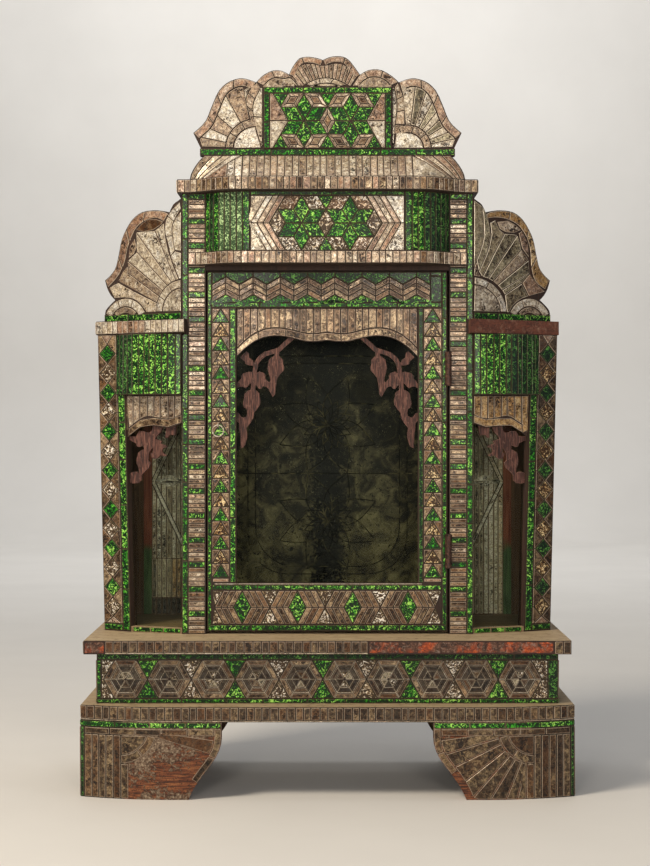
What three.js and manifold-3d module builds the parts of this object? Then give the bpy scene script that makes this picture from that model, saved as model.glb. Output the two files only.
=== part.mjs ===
// Wooden house shrine faced with glass mosaic: bracket feet, two ledges, a glazed cabinet with
// canted wings, a bowed fascia between two cornices, and shell crests.
// Millimetres, +Z up, front towards -Y, origin on the floor under the middle of the shrine.
import * as THREE from 'three';
import Module from 'manifold-3d';
import { mergeVertices } from 'three/addons/utils/BufferGeometryUtils.js';

const wasm = await Module();
wasm.setup();

// Clearances
const FIT = 0.3;
const LEAF_GAP = 0.6;
const DOOR_GAP = 2;
const STEPS = 10;

// Feet and ledges
const PLINTH_DEPTH = 316;
const PLINTH_HALF = 358.5;
const BOW_FLAT_HALF = 222;
const BOW_SETBACK = 28;
const FOOT_HEIGHT = 111;
const FOOT_WALL = 18;
const FOOT_INSET = 1.5;
const FOOT_WIDTH_TOP = 205;
const FOOT_WIDTH_TOE = 158;
const FOOT_STRAIGHT = 24;
const FOOT_RETURN_TOP = 112;
const FOOT_RETURN_TOE = 78;
const PLINTH_THICK = 21.5;
const FRIEZE_HEIGHT = 75;
const FRIEZE_THICK = 15;
const FRIEZE_HALF = 335;
const FRIEZE_SETBACK = 40;
const FRIEZE_BACK_SETBACK = 16;
const ALTAR_THICK = 19.5;
const ALTAR_HALF = 350;
const ALTAR_SETBACK = 8;
const ALTAR_BACK_SETBACK = 4;

// Cabinet carcass
const PIER_SETBACK = 94;
const OPENING_HALF = 180;
const PIER_WIDTH = 35.5;
const PIER_THICK = 30;
const BACK_THICK = 12;
const BACK_SETBACK = 12;
const SIDE_THICK = 10;
const FLOOR_THICK = 8.5;
const WING_HEIGHT = 445;
const LOWER_CORNICE_HEIGHT = 545;
const LOWER_CORNICE_THICK = 19;
const LOWER_CORNICE_HALF = 206;
const LOWER_CORNICE_SETBACK = 50;
const LOWER_CORNICE_BOW = 34;
const FASCIA_HEIGHT = 88;
const UPPER_CORNICE_THICK = 20;
const UPPER_CORNICE_HALF = 222;
const UPPER_CORNICE_SETBACK = 46;
const UPPER_CORNICE_BOW = 42;
const CORNICE_FLAT_HALF = 136;
const CORNICE_EAR = 10;
const LINTEL_DROP = 7;
const HATCH_MARGIN = 26;
const HATCH_HEIGHT = 300;
const MIRROR_THICK = 3;

// Wings
const WING_HALF = 336;
const WING_SETBACK = 96.5;
const POST_SETBACK = 124;
const POST_INNER = 294;
const POST_THICK = 16;
const POST_EDGE_SETBACK = 148;
const WING_LEAN = 10.5;
const SHELF_THICK = 20;
const SHELF_HALF = 349;
const SHELF_SETBACK = 58;
const SHELF_SWEEP = 90;
const SHELF_LAP = 6.5;
const DRUM_HEIGHT = 91;
const DRUM_SETBACK = 84;
const DRUM_OUTER = 316.4;
const DRUM_RISE = 14;
const WING_VALANCE_THICK = 4;
const WING_VALANCE_DROP = 68;
const CARVING_THICK = 5;
const WING_CARVING_THICK = 4;
const GLASS_THICK = 3;
const SIDE_RAIL_HEIGHT = 11.5;
const SIDE_RAIL_DEPTH = 14;
const SIDE_CREST_SETBACK = 95;
const SIDE_CREST_WIDTH = 146;
const SIDE_CREST_HEIGHT = 169;
const CREST_THICK = 12;

// Fascia, roof and top crest
const STAR_PANEL_HALF = 113;
const STAR_PANEL_SETBACK = 60;
const STAR_PANEL_THICK = 12;
const FASCIA_WALL = 10;
const ROOF_HEIGHT = 36.5;
const ROOF_FOOT_HALF = 204;
const ROOF_FOOT_SETBACK = 57;
const ROOF_TOP_HALF = 183;
const ROOF_FLAT_HALF = 124;
const ROOF_SLOPE = 41;
const TOP_RAIL_HEIGHT = 10.5;
const TOP_RAIL_HALF = 189;
const TOP_RAIL_DEPTH = 18;
const TOP_CREST_HALF = 199;
const TOP_CREST_HEIGHT = 137.5;
const TOP_PANEL_HALF = 95;
const TOP_PANEL_HEIGHT = 91;
const TOP_PANEL_THICK = 5;

// Door
const DOOR_THICK = 20;
const DOOR_SETBACK = 2;
const DOOR_SILL_GAP = 4;
const DOOR_HEAD_GAP = 1.5;
const STILE_WIDTH = 43;
const TOP_RAIL_WIDTH = 53.5;
const BOTTOM_RAIL_WIDTH = 71;
const REBATE_WIDTH = 6;
const REBATE_DEPTH = 7;
const DOOR_VALANCE_THICK = 5;
const DOOR_VALANCE_INSET = 3;
const VALANCE_DROP = 73;
const HINGE_HEIGHT = 50;
const HINGE_LOWER_RISE = 94;
const HINGE_UPPER_RISE = 363.5;
const HINGE_LEAF = 1.1;
const HINGE_LEAF_DEPTH = 18;
const BARREL_RADIUS = 4.8;
const PIN_RADIUS = 2.2;
const KNUCKLE_GAP = 0.4;
const RING_RADIUS = 8.3;
const RING_WIRE = 0.9;
const EYE_WIRE = 0.85;
const EYE_STANDOFF = 4;
const EYE_RISE = 305;
const EYE_INSET = 16;

// Levels and depths worked out from the sizes above
const FRONT = -PLINTH_DEPTH / 2;
const BACK = PLINTH_DEPTH / 2;
const Z_FRIEZE = FOOT_HEIGHT + PLINTH_THICK;
const Z_ALTAR = Z_FRIEZE + FRIEZE_HEIGHT;
const Z_DECK = Z_ALTAR + ALTAR_THICK;
const Z_FLOOR = Z_DECK + FLOOR_THICK;
const Z_SHELF = Z_DECK + WING_HEIGHT;
const Z_SIDE_RAIL = Z_SHELF + SHELF_THICK;
const Z_SIDE_CREST = Z_SIDE_RAIL + SIDE_RAIL_HEIGHT;
const Z_LOWER_CORNICE = Z_DECK + LOWER_CORNICE_HEIGHT;
const Z_FASCIA = Z_LOWER_CORNICE + LOWER_CORNICE_THICK;
const Z_UPPER_CORNICE = Z_FASCIA + FASCIA_HEIGHT;
const Z_ROOF = Z_UPPER_CORNICE + UPPER_CORNICE_THICK;
const Z_TOP_RAIL = Z_ROOF + ROOF_HEIGHT;
const Z_TOP_CREST = Z_TOP_RAIL + TOP_RAIL_HEIGHT;
const PIER_FRONT = FRONT + PIER_SETBACK;
const PIER_BACK = PIER_FRONT + PIER_THICK;
const PIER_OUTER = OPENING_HALF + PIER_WIDTH;
const PANEL_BACK = BACK - BACK_SETBACK;
const PANEL_FRONT = PANEL_BACK - BACK_THICK;
const WING_ROOT = PIER_OUTER + FIT;
const WING_FRONT = FRONT + WING_SETBACK;
const WING_CANT = Math.atan2(POST_SETBACK - WING_SETBACK, POST_INNER - WING_ROOT);
const POST_SLOPE = (POST_EDGE_SETBACK - POST_SETBACK) / (WING_HALF - POST_INNER);
const POST_CANT = Math.atan(POST_SLOPE);
const SHELF_INNER = PIER_OUTER - SHELF_LAP;
const SHELF_SLOPE = SHELF_SWEEP / (SHELF_HALF - SHELF_INNER);
const CREST_CANT = Math.atan(SHELF_SLOPE);
const Z_DRUM = Z_SHELF - DRUM_HEIGHT;
const DOOR_FRONT = PIER_FRONT + DOOR_SETBACK;
const DOOR_BACK = DOOR_FRONT + DOOR_THICK;
const DOOR_LEFT = -OPENING_HALF + DOOR_GAP;
const DOOR_RIGHT = OPENING_HALF - 2 * HINGE_LEAF - LEAF_GAP;
const DOOR_FOOT = Z_DECK + DOOR_SILL_GAP;
const Z_LINTEL = Z_LOWER_CORNICE - LINTEL_DROP;
const DOOR_HEAD = Z_LINTEL - DOOR_HEAD_GAP;
const GLASS_LEFT = DOOR_LEFT + STILE_WIDTH;
const GLASS_RIGHT = DOOR_RIGHT - STILE_WIDTH;
const GLASS_FOOT = DOOR_FOOT + BOTTOM_RAIL_WIDTH;
const GLASS_HEAD = DOOR_HEAD - TOP_RAIL_WIDTH;
const HINGE_X = DOOR_RIGHT + HINGE_LEAF + LEAF_GAP / 2;
const HINGE_Y = PIER_FRONT - BARREL_RADIUS - FIT;

// Carved foliage of a door bracket, from the upper corner of the pane: x inwards, z upwards.
const DOOR_FOLIAGE = [
  // Small leaf above the stalk
  [[24, -78], [18.5, -73.5], [17.8, -67], [14.5, -64], [10.5, -68], [5.2, -73], [8.7, -76.5], [12, -79],
    [13, -83], [17, -84.7], [22, -85.5], [27, -85]],
  // Pair of leaves across the stalk
  [[19.5, -94.5], [15.5, -95.5], [9.6, -97], [6.3, -101], [7, -104.5], [3, -108.5], [0, -113], [0, -119],
    [4, -116.6], [8.7, -116.6], [13, -119], [16.3, -116.6], [20, -112], [27, -112], [30.3, -116],
    [33.6, -120], [36.3, -120], [39.2, -116], [44.5, -117], [50, -122], [51, -109], [47.7, -110.3],
    [45, -107.4], [42.3, -104], [42.8, -100], [40.6, -96.5], [33.8, -94.3], [30.3, -96.7]],
  // Inner hanging leaf
  [[57, -62], [56, -71], [48.3, -76.3], [47.2, -83.4], [45.8, -89.4], [47.7, -96.5], [49.7, -103],
    [50.1, -108.5], [47.5, -112], [45, -117], [49, -123], [53.7, -132], [57, -128], [58.1, -117.2],
    [60.3, -104], [64.1, -98.7], [69.5, -93.2], [70.8, -87.8], [68.8, -83.4], [69, -77], [65.4, -73.4],
    [62.4, -71], [64, -62]],
  // Lower leaf, hollowed on the outer side, ending in a long tip
  [[22, -121], [16, -123.2], [11.8, -127.5], [10.9, -134.6], [9.3, -141.7], [11.2, -148.2], [14.5, -149.3],
    [16, -156.4], [14.5, -160.8], [9.6, -163], [6.3, -161.3], [3.6, -156.4], [0, -155.3], [0, -167.3],
    [4.1, -171.7], [3.6, -178.2], [5.2, -187], [5.8, -200], [6.1, -208.2], [9.6, -207.1], [12.5, -203.3],
    [15.6, -192.4], [15.6, -185.8], [14.2, -178.2], [20.5, -170.6], [24.8, -163], [25.9, -155.3],
    [29.4, -151.5], [34.7, -143.3], [35.5, -136.8], [33.8, -131.3], [33.6, -126.4], [30.3, -123.2],
    [25.5, -121]],
];

// Carved foliage of a wing bracket: lengths along the wing from its root, heights below the drum.
const WING_FOLIAGE = [
  // Stalk and outer leaf
  [[33.5, -38], [33.5, -49.6], [37.3, -56], [42.3, -60.6], [47.3, -69], [55, -80], [60, -84],
    [64.5, -78], [64, -74.5], [70.6, -77.5], [74.8, -76.6], [77.3, -71.3], [82.8, -69.4], [85, -67.5],
    [91, -68], [91, -62], [82.4, -61.4], [75.7, -61.4], [74.8, -58.3], [72.3, -53.8], [63.9, -53.4],
    [60.6, -55.3], [53.9, -55.7], [50.6, -52.6], [47.3, -38]],
  // Hanging leaf
  [[51, -74], [61.4, -79.7], [67.3, -82], [74, -86.5], [74, -90.3], [75.7, -95], [75.5, -101.8],
    [72.3, -109.4], [71.5, -117], [72, -128.4], [68, -127.7], [67.3, -119.3], [61.4, -113.2],
    [55.6, -108.6], [53.4, -103.3], [52.9, -100.6], [56.4, -97.2], [55.2, -86], [51, -80]],
  // Curl that springs from the corner post
  [[70, -120], [71.5, -117.8], [74, -115], [79.8, -114.3], [85, -116], [87.4, -119.3], [94, -119],
    [94, -131], [87, -130.7], [81.5, -132], [72.3, -131.5], [69, -127]],
  // Inner leaf
  [[52, -72], [45.2, -65.3], [41.4, -66], [34.4, -68.4], [36.4, -72.1], [29, -74.3], [25.2, -77.4],
    [31.5, -78.5], [34, -82], [33.1, -85.8], [26.3, -89.6], [29.8, -91.3], [37.3, -89.6],
    [39.8, -92.6], [43.1, -95.1], [48.9, -94.9], [52.3, -90.3], [53, -86.5], [49.5, -85.5],
    [49, -79.7], [54, -77]],
  // Curl by the pier, held by a bar hidden behind the valance
  [[3, -38], [42, -38], [42, -44], [28, -44.5], [28, -56.8], [29, -63], [25.7, -63.8], [22.4, -60.2],
    [19, -58.7], [13.3, -60.2], [12.3, -56.8], [10.8, -44], [3, -43]],
];

const FINISHES = {
  mosaic: { color: 0xa3967c, roughness: 0.35, metalness: 0.35 },
  greenGlass: { color: 0x1e6b1c, roughness: 0.25, metalness: 0.3 },
  paleWood: { color: 0xb39a78, roughness: 0.7, metalness: 0 },
  redWood: { color: 0x7a3a22, roughness: 0.75, metalness: 0 },
  darkWood: { color: 0x4a2c1c, roughness: 0.8, metalness: 0 },
  clearGlass: { color: 0xdfe8e4, roughness: 0.05, metalness: 0 },
  agedMirror: { color: 0x3d4038, roughness: 0.3, metalness: 0.6 },
  iron: { color: 0x5a3526, roughness: 0.7, metalness: 0.6 },
};

function named(name, geometry, finish) {
  const mesh = new THREE.Mesh(geometry, new THREE.MeshStandardMaterial(FINISHES[finish]));
  mesh.name = name;
  return mesh;
}

function solidOf(geometry) {
  const bare = geometry.clone();
  bare.deleteAttribute('normal');
  bare.deleteAttribute('uv');
  const merged = mergeVertices(bare, 1e-4);
  return new wasm.Manifold(new wasm.Mesh({
    numProp: 3,
    vertProperties: merged.attributes.position.array,
    triVerts: Uint32Array.from(merged.index.array),
  }));
}

function geometryOf(solid) {
  const mesh = solid.getMesh();
  const geometry = new THREE.BufferGeometry();
  geometry.setAttribute('position', new THREE.BufferAttribute(mesh.vertProperties, mesh.numProp));
  geometry.setIndex(new THREE.BufferAttribute(mesh.triVerts, 1));
  geometry.computeVertexNormals();
  return geometry;
}

function join(geometries) {
  return geometryOf(geometries.map(solidOf).reduce((whole, piece) => whole.add(piece)));
}

function cut(geometry, ...tools) {
  return geometryOf(tools.map(solidOf).reduce((rest, tool) => rest.subtract(tool), solidOf(geometry)));
}

function overlap(first, second) {
  return geometryOf(solidOf(first).intersect(solidOf(second)));
}

function box(x0, x1, y0, y1, z0, z1) {
  return new THREE.BoxGeometry(x1 - x0, y1 - y0, z1 - z0)
    .translate((x0 + x1) / 2, (y0 + y1) / 2, (z0 + z1) / 2);
}

function shapeOf(points) {
  return new THREE.Shape(points.map(([a, b]) => new THREE.Vector2(a, b)));
}

// A plan outline (x, y) carried up from one level to another.
function prism(points, bottom, top) {
  return new THREE.ExtrudeGeometry(shapeOf(points), { depth: top - bottom, bevelEnabled: false })
    .translate(0, 0, bottom);
}

// A front outline (x, z) carried back from its front face.
function board(points, front, thick) {
  return new THREE.ExtrudeGeometry(shapeOf(points), { depth: thick, bevelEnabled: false })
    .rotateX(Math.PI / 2).translate(0, front + thick, 0);
}

// A side outline (y, z) carried from one x to another.
function sideBoard(points, x0, x1) {
  return new THREE.ExtrudeGeometry(shapeOf(points), { depth: x1 - x0, bevelEnabled: false })
    .rotateX(Math.PI / 2).rotateZ(Math.PI / 2).translate(x0, 0, 0);
}

function mirrored(points, side) {
  return points.map(([x, other]) => [side * x, other]);
}

function smooth(points, steps) {
  const curve = new THREE.SplineCurve(points.map(([a, b]) => new THREE.Vector2(a, b)));
  return curve.getPoints(steps).map((p) => [p.x, p.y]);
}

// The wings lean outwards towards the top: x grows with height above the deck.
function leaning(geometry, side) {
  const place = geometry.attributes.position;
  for (let i = 0; i < place.count; i += 1) {
    const rise = (place.getZ(i) - Z_DECK) / WING_HEIGHT;
    place.setX(i, place.getX(i) + side * WING_LEAN * rise);
  }
  geometry.computeVertexNormals();
  return geometry;
}

// Front edge of a bowed board, left to right: straight in the middle, an arc back at each end.
function bowedEdge(flatHalf, half, front, setback) {
  const run = half - flatHalf;
  const radius = (run * run + setback * setback) / (2 * setback);
  const right = [];
  for (let i = 0; i <= STEPS; i += 1) {
    const x = (run * i) / STEPS;
    right.push([flatHalf + x, front + radius - Math.sqrt(radius * radius - x * x)]);
  }
  return [...mirrored(right, -1).reverse(), ...right];
}

// Front edge of a cornice, left to right: straight, an ogee back at each side, a short straight ear.
function ogeeEdge(flatHalf, half, front, setback, ear) {
  const run = half - ear - flatHalf;
  const right = [];
  for (let i = 0; i <= STEPS; i += 1) {
    const share = i / STEPS;
    right.push([flatHalf + run * share, front + (setback * (1 - Math.cos(Math.PI * share))) / 2]);
  }
  right.push([half, front + setback]);
  return [...mirrored(right, -1).reverse(), ...right];
}

// Carved stalk: an even ribbon along a smooth line of points.
function stalkOutline(points, width) {
  const line = smooth(points, STEPS);
  const edges = [1, -1].map((hand) => line.map(([x, z], i) => {
    const [ax, az] = line[Math.max(i - 1, 0)];
    const [bx, bz] = line[Math.min(i + 1, line.length - 1)];
    const length = Math.hypot(bx - ax, bz - az);
    return [x - (hand * width * (bz - az)) / (2 * length), z + (hand * width * (bx - ax)) / (2 * length)];
  }));
  return [...edges[0], ...edges[1].reverse()];
}

function plinth() {
  const edge = bowedEdge(BOW_FLAT_HALF, PLINTH_HALF, FRONT, BOW_SETBACK);
  const ledge = prism([...edge, [PLINTH_HALF, BACK], [-PLINTH_HALF, BACK]], FOOT_HEIGHT, Z_FRIEZE);
  const friezeFront = FRONT + FRIEZE_SETBACK;
  const friezeBack = BACK - FRIEZE_BACK_SETBACK;
  const inner = FRIEZE_HALF - FRIEZE_THICK;
  const innerFront = friezeFront + FRIEZE_THICK;
  const innerBack = friezeBack - FRIEZE_THICK;
  const span = [-FRIEZE_HALF, FRIEZE_HALF];
  const level = [Z_FRIEZE, Z_ALTAR];
  const altar = [FRONT + ALTAR_SETBACK, BACK - ALTAR_BACK_SETBACK, Z_ALTAR, Z_DECK];
  return [
    named('plinth_ledge', ledge, 'mosaic'),
    named('frieze_front', box(...span, friezeFront, innerFront, ...level), 'mosaic'),
    named('frieze_back', box(...span, innerBack, friezeBack, ...level), 'darkWood'),
    named('frieze_left', box(-FRIEZE_HALF, -inner, innerFront, innerBack, ...level), 'mosaic'),
    named('frieze_right', box(inner, FRIEZE_HALF, innerFront, innerBack, ...level), 'mosaic'),
    named('altar_ledge', box(-ALTAR_HALF, ALTAR_HALF, ...altar), 'paleWood'),
  ];
}

// Bracket feet: two boards round each corner of the plinth, sawn to a cyma at their free ends.
function feet() {
  const half = PLINTH_HALF - FOOT_INSET;
  const front = FRONT + FOOT_INSET;
  const back = BACK - FOOT_INSET;
  const outside = bowedEdge(BOW_FLAT_HALF, half, front, BOW_SETBACK);
  const inside = bowedEdge(BOW_FLAT_HALF, half - FOOT_WALL, front + FOOT_WALL, BOW_SETBACK);
  const outer = prism([...outside, [half, back], [-half, back]], 0, FOOT_HEIGHT);
  const hollow = prism([...inside, [half - FOOT_WALL, back - FOOT_WALL],
    [FOOT_WALL - half, back - FOOT_WALL]], -1, FOOT_HEIGHT + 1);
  const ring = cut(outer, hollow);
  const profile = (start, top, toe) => {
    const curve = new THREE.CubicBezierCurve(
      new THREE.Vector2(start - top, FOOT_HEIGHT - FOOT_STRAIGHT),
      new THREE.Vector2(start - top, FOOT_HEIGHT / 2),
      new THREE.Vector2(start - toe - (top - toe) * 0.3, FOOT_HEIGHT * 0.34),
      new THREE.Vector2(start - toe, 0),
    );
    return [[start, 0], [start, FOOT_HEIGHT], [start - top, FOOT_HEIGHT],
      ...curve.getPoints(STEPS).map((p) => [p.x, p.y])];
  };
  const faceBand = FOOT_WALL + BOW_SETBACK + FOOT_WALL;
  const made = [];
  for (const side of [-1, 1]) {
    const face = mirrored(profile(half, FOOT_WIDTH_TOP, FOOT_WIDTH_TOE), side);
    for (const end of ['front', 'back']) {
      const start = end === 'front' ? front : back;
      const inward = end === 'front' ? -1 : 1;
      const flank = profile(0, FOOT_RETURN_TOP, FOOT_RETURN_TOE).map(([y, z]) => [start + inward * y, z]);
      const faceFront = end === 'front' ? start : start - faceBand;
      const edges = [side * half, side * (half - FOOT_WALL)].sort((a, b) => a - b);
      const blank = join([board(face, faceFront, faceBand), sideBoard(flank, ...edges)]);
      made.push(named(`foot_${end}_${side < 0 ? 'left' : 'right'}`, overlap(ring, blank), 'mosaic'));
    }
  }
  return made;
}

// Corner post in plan: a canted board whose outer edge is trimmed in line with the wing's side.
function postPlan(side) {
  const face = FRONT + POST_SETBACK;
  const edge = FRONT + POST_EDGE_SETBACK;
  const trim = POST_THICK / Math.cos(POST_CANT);
  return mirrored([
    [POST_INNER, face],
    [WING_HALF, edge],
    [WING_HALF, edge + trim],
    [POST_INNER - POST_THICK * Math.sin(POST_CANT), face + POST_THICK * Math.cos(POST_CANT)],
  ], side);
}

// Everything outside the post's inner end, with a little clearance, to trim what meets the post.
function postRelief(side) {
  const across = [Math.sin(POST_CANT), -Math.cos(POST_CANT)];
  const reach = 3 * POST_THICK;
  const x = POST_INNER - FIT;
  const y = FRONT + POST_SETBACK;
  const near = [x + reach * across[0], y + reach * across[1]];
  const far = [x - reach * across[0], y - reach * across[1]];
  const out = WING_HALF + WING_LEAN + reach;
  const plan = mirrored([near, far, [out, far[1]], [out, near[1]]], side);
  return leaning(prism(plan, Z_DECK - 1, Z_SHELF + 1), side);
}

// Everything inside a pier's outer side, to trim the canted pieces that die against it.
function pierRelief(side) {
  return box(...[0, side * WING_ROOT].sort((a, b) => a - b), FRONT, BACK, Z_DECK - 1, Z_UPPER_CORNICE + 1);
}

// Turns a flat piece made in the wing's own front (x along the wing, y behind its face) into place.
function inWing(geometry, side) {
  return geometry.rotateZ(side * WING_CANT).translate(side * WING_ROOT, WING_FRONT, 0);
}

function carcass() {
  const wingSideInner = WING_HALF - SIDE_THICK;
  const postBack = FRONT + POST_EDGE_SETBACK + POST_THICK / Math.cos(POST_CANT);
  const floorHalf = [
    [OPENING_HALF - FIT, DOOR_BACK + FIT],
    [OPENING_HALF - FIT, PIER_BACK + FIT],
    [WING_ROOT, PIER_BACK + FIT],
    [WING_ROOT, WING_FRONT],
    [POST_INNER - 2 * FIT, WING_FRONT + (POST_INNER - 2 * FIT - WING_ROOT) * Math.tan(WING_CANT)],
    [POST_INNER - 2 * FIT - POST_THICK * Math.sin(POST_CANT),
      FRONT + POST_SETBACK + POST_THICK * Math.cos(POST_CANT) + FIT],
    [wingSideInner - FIT, postBack - SIDE_THICK * POST_SLOPE + FIT],
    [wingSideInner - FIT, PANEL_FRONT],
  ];
  const floor = prism([...floorHalf, ...mirrored(floorHalf, -1).reverse()], Z_DECK, Z_FLOOR);
  const wingTop = WING_HALF + WING_LEAN;
  const backHalf = [[WING_HALF, Z_DECK], [wingTop, Z_SHELF], [PIER_OUTER, Z_SHELF],
    [PIER_OUTER, Z_UPPER_CORNICE]];
  const back = board([...backHalf, ...mirrored(backHalf, -1).reverse()], PANEL_FRONT, BACK_THICK);
  const mirrorHalf = OPENING_HALF - DOOR_GAP;
  const mirror = box(-mirrorHalf, mirrorHalf, PANEL_FRONT - FIT - MIRROR_THICK, PANEL_FRONT - FIT,
    Z_FLOOR, Z_LOWER_CORNICE);
  const lintel = box(-OPENING_HALF + FIT, OPENING_HALF - FIT, PIER_FRONT, DOOR_BACK, Z_LINTEL, Z_FASCIA);
  const made = [
    named('cabinet_floor', floor, 'paleWood'),
    named('back_panel', back, 'darkWood'),
    named('back_mirror', mirror, 'agedMirror'),
    named('lintel', lintel, 'mosaic'),
  ];
  for (const side of [-1, 1]) {
    const hand = side < 0 ? 'left' : 'right';
    const outward = (x0, x1) => [side * x0, side * x1].sort((a, b) => a - b);
    const pier = box(...outward(OPENING_HALF, PIER_OUTER), PIER_FRONT, PIER_BACK, Z_DECK, Z_UPPER_CORNICE);
    const post = leaning(prism(postPlan(side), Z_DECK, Z_SHELF), side);
    const sidePlan = mirrored([
      [WING_HALF, postBack + FIT],
      [WING_HALF, PANEL_FRONT],
      [wingSideInner, PANEL_FRONT],
      [wingSideInner, postBack - SIDE_THICK * POST_SLOPE + FIT],
    ], side);
    const partition = outward(PIER_OUTER - SIDE_THICK, PIER_OUTER);
    const hatchFoot = Z_FLOOR + HATCH_MARGIN;
    const partitionBoard = box(...partition, PIER_BACK, PANEL_FRONT, Z_FLOOR, Z_UPPER_CORNICE);
    const hatch = box(partition[0] - 1, partition[1] + 1, PIER_BACK + HATCH_MARGIN,
      PANEL_FRONT - HATCH_MARGIN, hatchFoot, hatchFoot + HATCH_HEIGHT);
    made.push(
      named(`pier_${hand}`, pier, 'mosaic'),
      named(`corner_post_${hand}`, post, 'mosaic'),
      named(`wing_side_${hand}`, leaning(prism(sidePlan, Z_DECK, Z_SHELF), side), 'redWood'),
      named(`partition_${hand}`, cut(partitionBoard, hatch), 'redWood'),
    );
  }
  return made;
}

// Wing fronts: pane, scalloped valance and carved bracket in one canted plane, a convex drum above.
function wingFronts() {
  const width = (POST_INNER - WING_ROOT) / Math.cos(WING_CANT) + WING_LEAN;
  const carvingFront = WING_VALANCE_THICK + FIT;
  const paneFront = carvingFront + WING_CARVING_THICK + FIT;
  const drumBack = paneFront + GLASS_THICK;
  const head = Z_DRUM - FIT;
  const scallop = smooth([[0, 0.6], [0.13, 0.68], [0.28, 0.71], [0.45, 0.68], [0.61, 0.65], [0.78, 0.76],
    [0.92, 0.89], [1, 1]], 24).map(([u, drop]) => [u * width, -drop * WING_VALANCE_DROP]);
  const valance = [[0, 0], ...scallop, [width, 0]].map(([u, drop]) => [u, head + drop]);
  const made = [];
  for (const side of [-1, 1]) {
    const hand = side < 0 ? 'left' : 'right';
    const reliefs = [postRelief(side), pierRelief(side)];
    const local = (outline) => mirrored(outline, side);
    const inPlane = (geometry) => inWing(geometry, side);
    const paneOutline = [[FIT, Z_FLOOR + FIT], [width, Z_FLOOR + FIT], [width, head], [FIT, head]];
    const pane = cut(inPlane(board(local(paneOutline), paneFront, GLASS_THICK)), ...reliefs);
    const valanceBoard = cut(inPlane(board(local(valance), 0, WING_VALANCE_THICK)), ...reliefs);
    const foliage = join(WING_FOLIAGE.map((outline) => board(
      local(outline.map(([u, drop]) => [u, head + drop])), carvingFront, WING_CARVING_THICK)));
    const keep = inPlane(board(local([[FIT, Z_DECK], [width, Z_DECK], [width, head], [FIT, head]]),
      carvingFront, WING_CARVING_THICK));
    const bracket = cut(overlap(inPlane(foliage), keep), ...reliefs);
    const outerDepth = POST_SETBACK + (DRUM_OUTER - POST_INNER - WING_LEAN) * POST_SLOPE;
    const start = [PIER_OUTER + FIT, FRONT + DRUM_SETBACK];
    const end = [DRUM_OUTER, FRONT + outerDepth];
    const chord = Math.hypot(end[0] - start[0], end[1] - start[1]);
    const arc = [];
    for (let i = 0; i <= STEPS; i += 1) {
      const share = i / STEPS;
      const rise = 4 * DRUM_RISE * share * (1 - share);
      arc.push([
        start[0] + (end[0] - start[0]) * share + (rise * (end[1] - start[1])) / chord,
        start[1] + (end[1] - start[1]) * share - (rise * (end[0] - start[0])) / chord,
      ]);
    }
    const backStart = WING_FRONT + drumBack / Math.cos(WING_CANT);
    const drumPlan = [...arc, [DRUM_OUTER, backStart + (DRUM_OUTER - WING_ROOT) * Math.tan(WING_CANT)],
      [WING_ROOT, backStart]];
    const postCut = leaning(prism(postPlan(side).map(([x, y], i) => [
      x - side * FIT * (i === 0 || i === 3 ? 1 : 0), y - (i < 2 ? FIT : 0)]), Z_DECK, Z_SHELF + 1), side);
    const drum = cut(prism(mirrored(drumPlan, side), Z_DRUM, Z_SHELF), postCut);
    made.push(
      named(`wing_glass_${hand}`, pane, 'clearGlass'),
      named(`wing_valance_${hand}`, valanceBoard, 'mosaic'),
      named(`wing_bracket_${hand}`, bracket, 'redWood'),
      named(`wing_drum_${hand}`, drum, 'greenGlass'),
    );
  }
  return made;
}

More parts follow.
